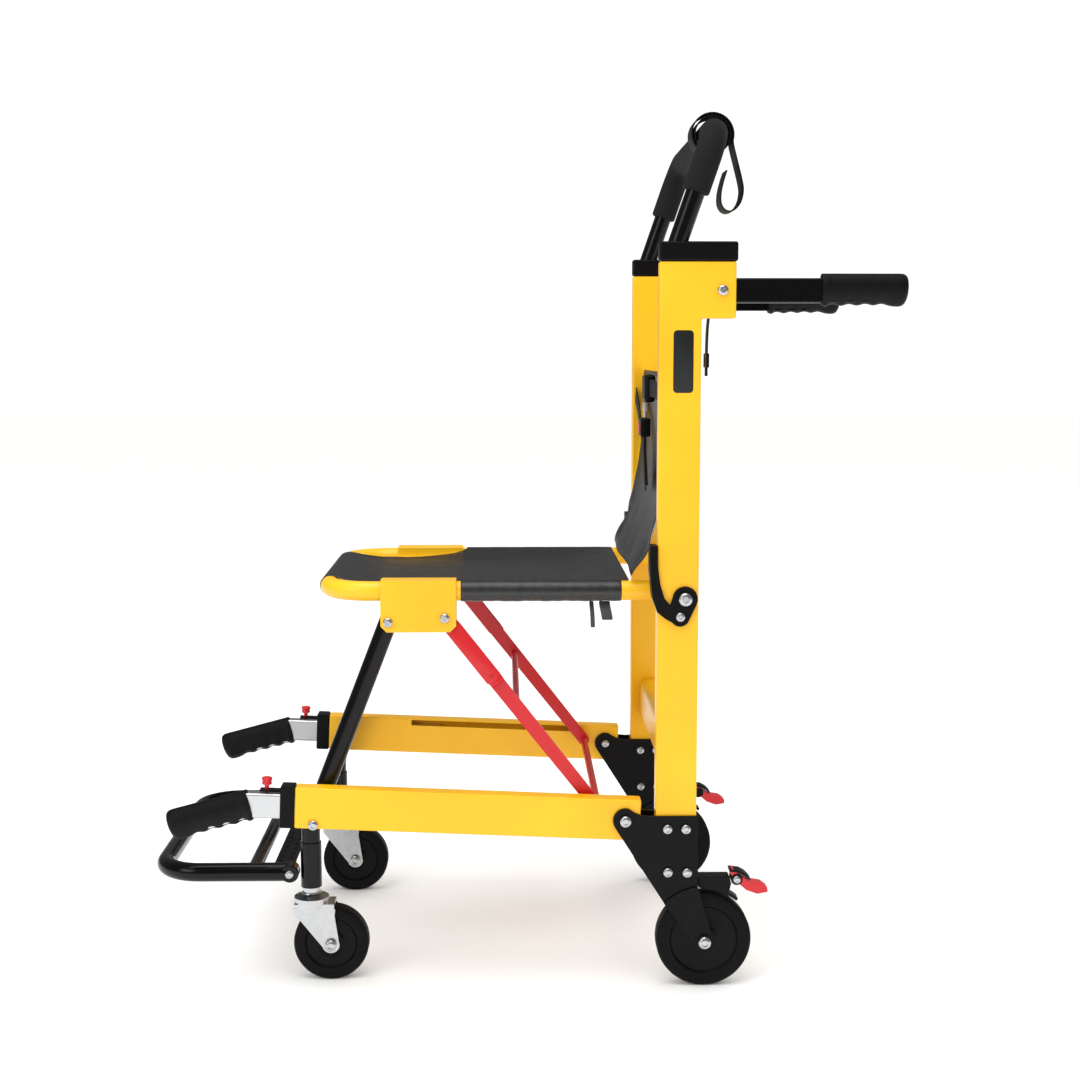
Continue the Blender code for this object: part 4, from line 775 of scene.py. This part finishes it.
# Hide grain: cells about 1.3 mm across, with finer pores between them.
cells = node(vinyl, "ShaderNodeTexVoronoi", {"Scale": 760.0, "Smoothness": 0.6}, {"Vector": place},
             feature="SMOOTH_F1")
pores = node(vinyl, "ShaderNodeTexNoise", {"Scale": 1900.0, "Detail": 2.0}, {"Vector": place})
crease = node(vinyl, "ShaderNodeTexNoise", {"Scale": 34.0, "Detail": 4.0, "Roughness": 0.62},
              {"Vector": place})
fine = node(vinyl, "ShaderNodeMath", {1: 0.35}, {0: pores.outputs["Fac"]}, operation="MULTIPLY")
coarse = node(vinyl, "ShaderNodeMath", {1: 5.0}, {0: crease.outputs["Fac"]}, operation="MULTIPLY")
both = node(vinyl, "ShaderNodeMath", None, {0: cells.outputs["Distance"], 1: fine.outputs[0]},
            operation="ADD")
height = node(vinyl, "ShaderNodeMath", None, {0: both.outputs[0], 1: coarse.outputs[0]}, operation="ADD")
relief(vinyl, height.outputs[0], 0.32, 0.0007)
vary_sheen(vinyl, crease.outputs["Fac"], 0.30, 0.50)


def grid_sheet(name, rows):
    """A sheet made of one row of points after another."""
    count = len(rows[0])
    mesh = bpy.data.meshes.new(name)
    faces = [(i * count + j, i * count + j + 1, (i + 1) * count + j + 1, (i + 1) * count + j)
             for i in range(len(rows) - 1) for j in range(count - 1)]
    mesh.from_pydata([p for row in rows for p in row], [], faces)
    made = into_scene(name, mesh)
    return made


def hang(sheet, held, most, pull, slack=0.0):
    """Lets the sheet sag as cloth from the points that are held, but no point further than most."""
    before = [v.co.copy() for v in sheet.data.vertices]
    group = sheet.vertex_groups.new(name="held")
    group.add(held, 1.0, "REPLACE")
    scene = bpy.context.scene
    old = scene.gravity.copy()
    scene.gravity = pull
    cloth = sheet.modifiers.new("drape", "CLOTH")
    cloth.settings.quality = 8
    cloth.settings.mass = 0.5
    cloth.settings.tension_stiffness = 60.0
    cloth.settings.compression_stiffness = 60.0
    cloth.settings.shear_stiffness = 20.0
    cloth.settings.bending_stiffness = 1.2
    cloth.settings.vertex_group_mass = "held"
    cloth.settings.shrink_min = -slack
    cloth.collision_settings.use_collision = False
    scene.frame_start, scene.frame_end = 1, 20
    for step in range(1, 21):
        scene.frame_set(step)
    apply_all(sheet)
    scene.gravity = old
    scene.frame_set(1)
    for vertex, start in zip(sheet.data.vertices, before):
        moved = vertex.co - start
        if moved.length > most:
            vertex.co = start + moved * (most / moved.length)


def thicken(sheet, wall, offset, levels):
    """Gives a sheet its thickness, rounds it once more and finishes it in vinyl."""
    step = sheet.modifiers.new("wall", "SOLIDIFY")
    step.thickness = wall
    step.offset = offset
    step = sheet.modifiers.new("smooth", "SUBSURF")
    step.levels = step.render_levels = levels
    apply_all(sheet)
    bpy.ops.object.shade_smooth()
    sheet.data.materials.append(vinyl)


def half_width(x):
    """Half the seat sheet's width: wide on the tubes, drawn in between the front corners."""
    if x > -0.079:
        return 0.1855
    if x > -0.089:
        return 0.1665 + (0.1855 - 0.1665) * (x + 0.089) / 0.010
    if x > -0.205:
        return 0.1665
    return 0.1665 - 0.0365 * math.sin(math.radians(90) * (-0.205 - x) / 0.055)


tube_z = 0.528
over = 0.0144
rows = []
nose = [(-0.2570 - over * math.sin(a), tube_z + over * math.cos(a)) for a in
        [math.radians(v) for v in range(200, -1, -20)]]
nose = [(-0.2420, tube_z - 0.0150)] + nose
flat = [(-0.2570 + 0.402 * i / 66, tube_z + over) for i in range(1, 67)]
path = nose + flat
for x, z in path:
    w = half_width(max(x, -0.2600))
    rows.append([(x, w * (2 * j / 60 - 1), z) for j in range(61)])
seat_sheet = grid_sheet("seat_vinyl", rows)
held = []
for i, (x, z) in enumerate(path):
    for j in range(61):
        y = abs(rows[i][j][1])
        if i < len(nose) + 1 or i >= len(path) - 2 or (x > -0.079 and y > 0.178):
            held.append(i * 61 + j)
hang(seat_sheet, held, 0.013, (0.0, 0.0, -9.8), 0.006)
thicken(seat_sheet, 0.0018, 1.0, 1)
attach(seat_sheet, "seat")
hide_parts("seat_cover")

for side, s in SIDES:
    # The side wrap: from the top of the tube, out and round, to a double hem underneath.
    rows = []
    for i in range(45):
        x = -0.0790 + 0.2130 * i / 44
        ripple = 0.0004 * math.sin(i * 1.7) + 0.0003 * math.sin(i * 0.63 + s)
        row = []
        for j in range(25):
            turn = math.radians(-8 + 262 * j / 24)
            r = over - 0.0003 + ripple * math.sin(math.radians(180) * j / 24)
            row.append((x, s * (0.1855 + r * math.sin(turn)), tube_z + r * math.cos(turn)))
        rows.append(row if s > 0 else row[::-1])
    wrap = grid_sheet(f"seat_side_wrap_{side}", rows)
    thicken(wrap, 0.0016, 1.0, 1)
    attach(wrap, "seat")

# Bonded nylon thread, three strands, satin black: stitches 3.2 mm long at a 4.4 mm pitch.
thread, shader = surface("bonded_nylon_thread", Base_Color=colour("#1C1C1F"), IOR=1.53, Roughness=0.5,
                         Specular_IOR_Level=0.5)
place = node(thread, "ShaderNodeTexCoord").outputs["Object"]
strand = node(thread, "ShaderNodeTexNoise", {"Scale": 2600.0}, {"Vector": place})
relief(thread, strand.outputs["Fac"], 0.4, 0.0002)

bpy.ops.object.select_all(action="DESELECT")
bpy.ops.mesh.primitive_cylinder_add(vertices=8, radius=0.00042, depth=0.0026, location=(0.0, 0.0, 0.0),
                                    rotation=(0.0, math.radians(90), 0.0))
stitch = bpy.context.object
bpy.ops.object.transform_apply(location=True, rotation=True, scale=True)
choose(stitch, lambda at, facing: abs(facing.x) > 0.9)
bpy.ops.mesh.inset(thickness=0.00016, depth=0.0003)
done(stitch)
bpy.ops.object.shade_smooth()
stitch_shape = stitch.data
bpy.data.objects.remove(stitch)


def sew(name, line, pitch, body):
    """A row of stitches laid end to end along a line of points."""
    made = []
    travelled, due = 0.0, pitch / 2
    for a, b in zip(line, line[1:]):
        a, b = Vector(a), Vector(b)
        length = (b - a).length
        while due <= travelled + length and length > 0:
            one = into_scene(name, stitch_shape.copy())
            turn = (b - a).to_track_quat("X", "Z").to_matrix().to_4x4()
            one.data.transform(Matrix.Translation(a + (b - a) * ((due - travelled) / length)) @ turn)
            made.append(one)
            due += pitch
        travelled += length
    join_all(made)
    made[0].data.materials.append(thread)
    if body:
        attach(made[0], body)
    return made[0]


for side, s in SIDES:
    for k, turn in enumerate((112, 128)):
        a = math.radians(turn)
        r = over + 0.0013
        y = s * (0.1855 + r * math.sin(a))
        z = tube_z + r * math.cos(a)
        sew(f"seat_hem_stitch_{side}_{k}", [(-0.0760, y, z), (0.1310, y, z)], 0.0044, "seat")

# A tape hanging from the hem near the rear, and the raw end of the binding beside it.
for side, s in SIDES:
    for k, (x, width, drop) in enumerate(((0.1120, 0.0150, 0.026), (0.0945, 0.0060, 0.036))):
        rows = []
        for i in range(9):
            t = i / 8
            sway = 0.0020 * math.sin(3.0 * t + k)
            y = s * (0.1790 + 0.0012 * math.sin(5 * t))
            rows.append([(x + width * (j / 4 - 0.5) + sway * t + 0.004 * t * t, y,
                          tube_z - 0.0150 - drop * t) for j in range(5)])
        tape = grid_sheet(f"hem_tape_{k}_{side}", rows)
        thicken(tape, 0.0011, -1.0, 2)
        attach(tape, "seat")


# ---- vinyl back sling ----------------------------------------------------------------
# The same coated cloth, slung between the posts and carried down to the seat, where it is
# sewn to the sheet: it bellies backwards and creases where the two meet.
line = [(0.1480, 0.5490), (0.1590, 0.5660), (0.1700, 0.5950), (0.1790, 0.6300), (0.1870, 0.6700),
        (0.1925, 0.7100), (0.1950, 0.7500), (0.1955, 0.8150)]
path = []
for (x0, z0), (x1, z1) in zip(line, line[1:]):
    parts = max(2, round(math.hypot(x1 - x0, z1 - z0) / 0.0065))
    path += [(x0 + (x1 - x0) * k / parts, z0 + (z1 - z0) * k / parts) for k in range(parts)]
path.append(line[-1])
rows = []
for i, (x, z) in enumerate(path):
    # Two tucks low down, where the cloth turns from the seat up to the back.
    low = max(0.0, 1.0 - (z - 0.549) / 0.075)
    row = []
    for j in range(65):
        y = 0.2030 * (2 * j / 64 - 1)
        tuck = 0.0045 * low * math.sin(9.0 * z / 0.075 + 0.6 * math.sin(y * 24.0))
        tuck *= 0.5 + 0.5 * abs(y) / 0.203
        row.append((x + tuck, y, z))
    rows.append(row)
back_sheet = grid_sheet("back_vinyl", rows)
held = [i * 65 + j for i in range(len(path)) for j in range(65)
        if i < 2 or i >= len(path) - 2 or j < 2 or j > 62]
hang(back_sheet, held, 0.012, (7.0, 0.0, -5.0), 0.005)
thicken(back_sheet, 0.0018, 0.0, 1)
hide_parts("back_sling")
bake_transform(back_sheet)

# Top hem: the cloth turned over a tape, sewn twice.
for k, z in enumerate((0.8090, 0.7900)):
    sew(f"back_hem_stitch_{k}", [(0.1940, -0.1980, z), (0.1940, 0.1980, z)], 0.0048, "frame")


# ---- lap belt ------------------------------------------------------------------------
# A push-button buckle of moulded black nylon on a sleeved stalk, with a pressed steel
# tongue and a red button, held up in front of the back sling by its own webbing.
webbing, shader = surface("woven_nylon_webbing", Base_Color=colour("#0D0D0E"), IOR=1.53, Roughness=0.72,
                          Specular_IOR_Level=0.35)
place = node(webbing, "ShaderNodeUVMap", uv_map="run").outputs["UV"]
# The weave: ribs across every 1.1 mm, crossed by cords 1.4 mm apart, in a herringbone.
ribs = node(webbing, "ShaderNodeTexWave", {"Scale": 145.0, "Distortion": 0.6}, {"Vector": place},
            wave_type="BANDS", bands_direction="X")
cords = node(webbing, "ShaderNodeTexWave", {"Scale": 112.0}, {"Vector": place},
             wave_type="BANDS", bands_direction="Y")
weave = node(webbing, "ShaderNodeMath", None, {0: ribs.outputs["Fac"], 1: cords.outputs["Fac"]},
             operation="MULTIPLY")
relief(webbing, weave.outputs[0], 0.8, 0.0004)
# Painted shade: the colour follows the weave's height, darker in its hollows and lighter on its ribs.
weave_shade = node(webbing, "ShaderNodeValToRGB", None, {"Fac": weave.outputs[0]})
weave_shade.color_ramp.elements[0].color = colour("#050506")
weave_shade.color_ramp.elements[1].color = colour("#18181A")
webbing.node_tree.links.new(weave_shade.outputs["Color"], shader.inputs["Base Color"])


def strap(name, line, across, width, thick, finish):
    """A flat strap along a line of points, its width along one direction, with rolled edges."""
    across = Vector(across)
    line = [Vector(p) for p in line]
    for _ in range(2):
        cut = [line[0]]
        for a, b in zip(line, line[1:]):
            cut += [a * 0.75 + b * 0.25, a * 0.25 + b * 0.75]
        line = cut + [line[-1]]
    mesh = bpy.data.meshes.new(name)
    points, faces, run = [], [], []
    far = 0.0
    profile = [(-0.5, 0.0), (-0.47, 0.5), (-0.25, 0.5), (0.0, 0.5), (0.25, 0.5), (0.47, 0.5), (0.5, 0.0),
               (0.47, -0.5), (0.25, -0.5), (0.0, -0.5), (-0.25, -0.5), (-0.47, -0.5)]
    n = len(profile)
    for i, p in enumerate(line):
        ahead = (line[min(i + 1, len(line) - 1)] - line[max(i - 1, 0)]).normalized()
        side = (across - ahead * across.dot(ahead)).normalized()
        up = side.cross(ahead)
        far += (p - line[i - 1]).length if i else 0.0
        points += [p + side * (u * width) + up * (v * thick) for u, v in profile]
        run += [(far, u * width) for u, v in profile]
        if i:
            faces += [((i - 1) * n + k, (i - 1) * n + (k + 1) % n, i * n + (k + 1) % n, i * n + k)
                      for k in range(n)]
    faces += [tuple(range(n)), tuple(range(len(points) - n, len(points)))[::-1]]
    mesh.from_pydata(points, [], faces)
    layer = mesh.uv_layers.new(name="run")
    for loop in mesh.loops:
        layer.data[loop.index].uv = run[loop.vertex_index]
    made = into_scene(name, mesh)
    alone(made)
    bpy.ops.object.mode_set(mode="EDIT")
    bpy.ops.mesh.select_all(action="SELECT")
    bpy.ops.mesh.normals_make_consistent(inside=False)
    bpy.ops.object.mode_set(mode="OBJECT")
    smooth_under(50)
    made.data.materials.append(finish)
    return made


smoothed("belt_stalk", webbing, 0.0004)
for name, finish, ease in (("belt_buckle", black_nylon, 0.0016), ("belt_button", red_nylon, 0.0006),
                           ("belt_tongue", zinc, 0.0004), ("belt_pad", black_nylon, 0.0022)):
    if name in frame["nodes"]:
        smoothed(name, finish, ease)

# The webbing itself: from the pad and from the stalk, out across the back to the far post
# and the near one.
for name, line, across in (
        ("belt_strap_left", [(0.1815, -0.050, 0.7920), (0.1830, -0.080, 0.7930), (0.1850, -0.130, 0.7900),
                             (0.1850, -0.175, 0.7860), (0.1830, -0.2035, 0.7830)], (0.0, 0.0, 1.0)),
        ("belt_strap_right", [(0.1785, -0.0300, 0.6590), (0.1800, -0.0150, 0.6580), (0.1835, 0.0300, 0.6700),
                              (0.1850, 0.0900, 0.7050), (0.1850, 0.1600, 0.7500), (0.1830, 0.2035, 0.7780)],
         (0.0, 0.0, 1.0))):
    piece = strap(name, line, across, 0.0240, 0.0016, webbing)
    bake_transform(piece)


# ---- lift strap ----------------------------------------------------------------------
# Woven nylon webbing rolled twice round the lift handle's crest, its end folded back on
# itself in a drop-shaped loop behind.
crest = (0.2508, 1.1241)
line = []
for k in range(0, 61):
    turn = math.radians(-20 - 720 * k / 60)
    r = 0.0204 + 0.0085 * k / 60
    line.append((crest[0] + r * math.cos(turn), -0.140, crest[1] + r * math.sin(turn)))
line += [(crest[0] + dx, -0.140, crest[1] + dz) for dx, dz in (
    (0.0325, -0.030), (0.0400, -0.058), (0.0425, -0.072), (0.0390, -0.088), (0.0300, -0.098),
    (0.0200, -0.099), (0.0130, -0.091), (0.0120, -0.078), (0.0150, -0.062), (0.0200, -0.046))]
lift_webbing = strap("lift_strap_webbing", line, (0.0, 1.0, 0.0), 0.0440, 0.0020, webbing)
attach(lift_webbing, "frame")
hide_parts("lift_strap")


# ---- plain label ---------------------------------------------------------------------
# One blank dark vinyl label on each post's outer face, with rounded corners and nothing
# printed on it.
label_film, shader = surface("plain_vinyl_label_film", Base_Color=colour("#17181A"), IOR=1.5,
                            Specular_IOR_Level=0.4)
place = node(label_film, "ShaderNodeTexCoord").outputs["Object"]
dots = node(label_film, "ShaderNodeTexNoise", {"Scale": 900.0, "Detail": 2.0}, {"Vector": place})
vary_sheen(label_film, dots.outputs["Fac"], 0.30, 0.46)
relief(label_film, dots.outputs["Fac"], 0.08, 0.0001)


def thin_plate(name, x0, x1, z0, z1, y, thick, corner, finish, body):
    """A thin plate on a face square to Y, with rounded corners."""
    bpy.ops.object.select_all(action="DESELECT")
    bpy.ops.mesh.primitive_plane_add(size=1.0, location=(0.0, 0.0, 0.0))
    made = bpy.context.object
    made.name = name
    bpy.ops.object.mode_set(mode="EDIT")
    bpy.ops.mesh.select_mode(type="VERT")
    bpy.ops.mesh.select_all(action="SELECT")
    bpy.ops.transform.resize(value=(x1 - x0, z1 - z0, 1.0), center_override=(0.0, 0.0, 0.0))
    bpy.ops.mesh.bevel(offset=corner, segments=5, affect="VERTICES")
    bpy.ops.mesh.select_all(action="SELECT")
    bpy.ops.transform.rotate(value=math.radians(90), orient_axis="X", center_override=(0.0, 0.0, 0.0))
    bpy.ops.transform.translate(value=((x0 + x1) / 2, y, (z0 + z1) / 2))
    bpy.ops.object.mode_set(mode="OBJECT")
    step = made.modifiers.new("wall", "SOLIDIFY")
    step.thickness = thick
    step.offset = 0.0
    step = made.modifiers.new("edge", "BEVEL")
    step.width = thick * 0.3
    step.segments = 2
    step.angle_limit = math.radians(50)
    apply_all(made)
    smooth_under(40)
    made.data.materials.append(finish)
    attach(made, body)
    return made


post_face = 0.217 + 0.0125
for side, s in SIDES:
    y = s * (post_face + 0.00005)
    thin_plate(f"post_label_{side}", 0.1960, 0.2220, 0.7900, 0.8700, y, 0.0003, 0.0050, label_film, "frame")

# Adjusting strap: the same webbing looped over the upper cross tube, in a moulded slider.
loop = [(0.2575 + 0.0128 * math.cos(a), 0.0, 0.9000 + 0.0128 * math.sin(a))
        for a in [math.radians(v) for v in range(205, -21, -15)]]
tail = strap("tether_webbing", loop + [(0.2680, 0.0, 0.8850), (0.2670, 0.0, 0.8700), (0.2664, 0.0, 0.8520),
                                       (0.2662, 0.0, 0.8080)], (0.0, 1.0, 0.0), 0.0240, 0.0016, webbing)
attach(tail, "frame")
bpy.ops.object.select_all(action="DESELECT")
bpy.ops.mesh.primitive_cube_add(size=1.0, location=(0.0, 0.0, 0.0))
slider = bpy.context.object
slider.name = "tether_slider"
bpy.ops.object.mode_set(mode="EDIT")
bpy.ops.mesh.select_all(action="SELECT")
bpy.ops.transform.resize(value=(0.0050, 0.0330, 0.0200), center_override=(0.0, 0.0, 0.0))
bpy.ops.object.mode_set(mode="OBJECT")
choose(slider, lambda at, facing: abs(facing.x) > 0.9)
bpy.ops.mesh.inset(thickness=0.0035, depth=-0.0016)
bpy.ops.mesh.select_all(action="SELECT")
bpy.ops.transform.translate(value=(0.2663, 0.0, 0.8300))
done(slider)
step = slider.modifiers.new("round", "BEVEL")
step.width = 0.0009
step.segments = 3
step.angle_limit = math.radians(50)
apply_all(slider)
smooth_under(40)
slider.data.materials.append(black_nylon)
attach(slider, "frame")


# ---- weld beads ----------------------------------------------------------------------
# Fillet welds round the ends of the upper cross tube, laid by hand and coated over: a row of
# overlapping ripples 3 mm wide.
def bead(name, centre, radius, body):
    """A ring of weld round a tube that runs along Y."""
    bpy.ops.object.select_all(action="DESELECT")
    bpy.ops.mesh.primitive_torus_add(major_radius=radius, minor_radius=0.0016, major_segments=96,
                                     minor_segments=10, location=(0.0, 0.0, 0.0))
    made = bpy.context.object
    made.name = name
    for vertex in made.data.vertices:
        turn = math.atan2(vertex.co.y, vertex.co.x)
        ripple = 1.0 + 0.006 * math.sin(turn * 30)
        vertex.co.x *= ripple
        vertex.co.y *= ripple
    made.data.transform(Matrix.Translation(Vector(centre)) @ Matrix.Rotation(math.radians(90), 4, "X"))
    alone(made)
    bpy.ops.object.shade_smooth()
    made.data.materials.append(yellow_coat)
    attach(made, body)
    return made


for side, s in SIDES:
    bead(f"upper_cross_weld_{side}", (0.2575, s * 0.2036, 0.9000), 0.0116, "frame")
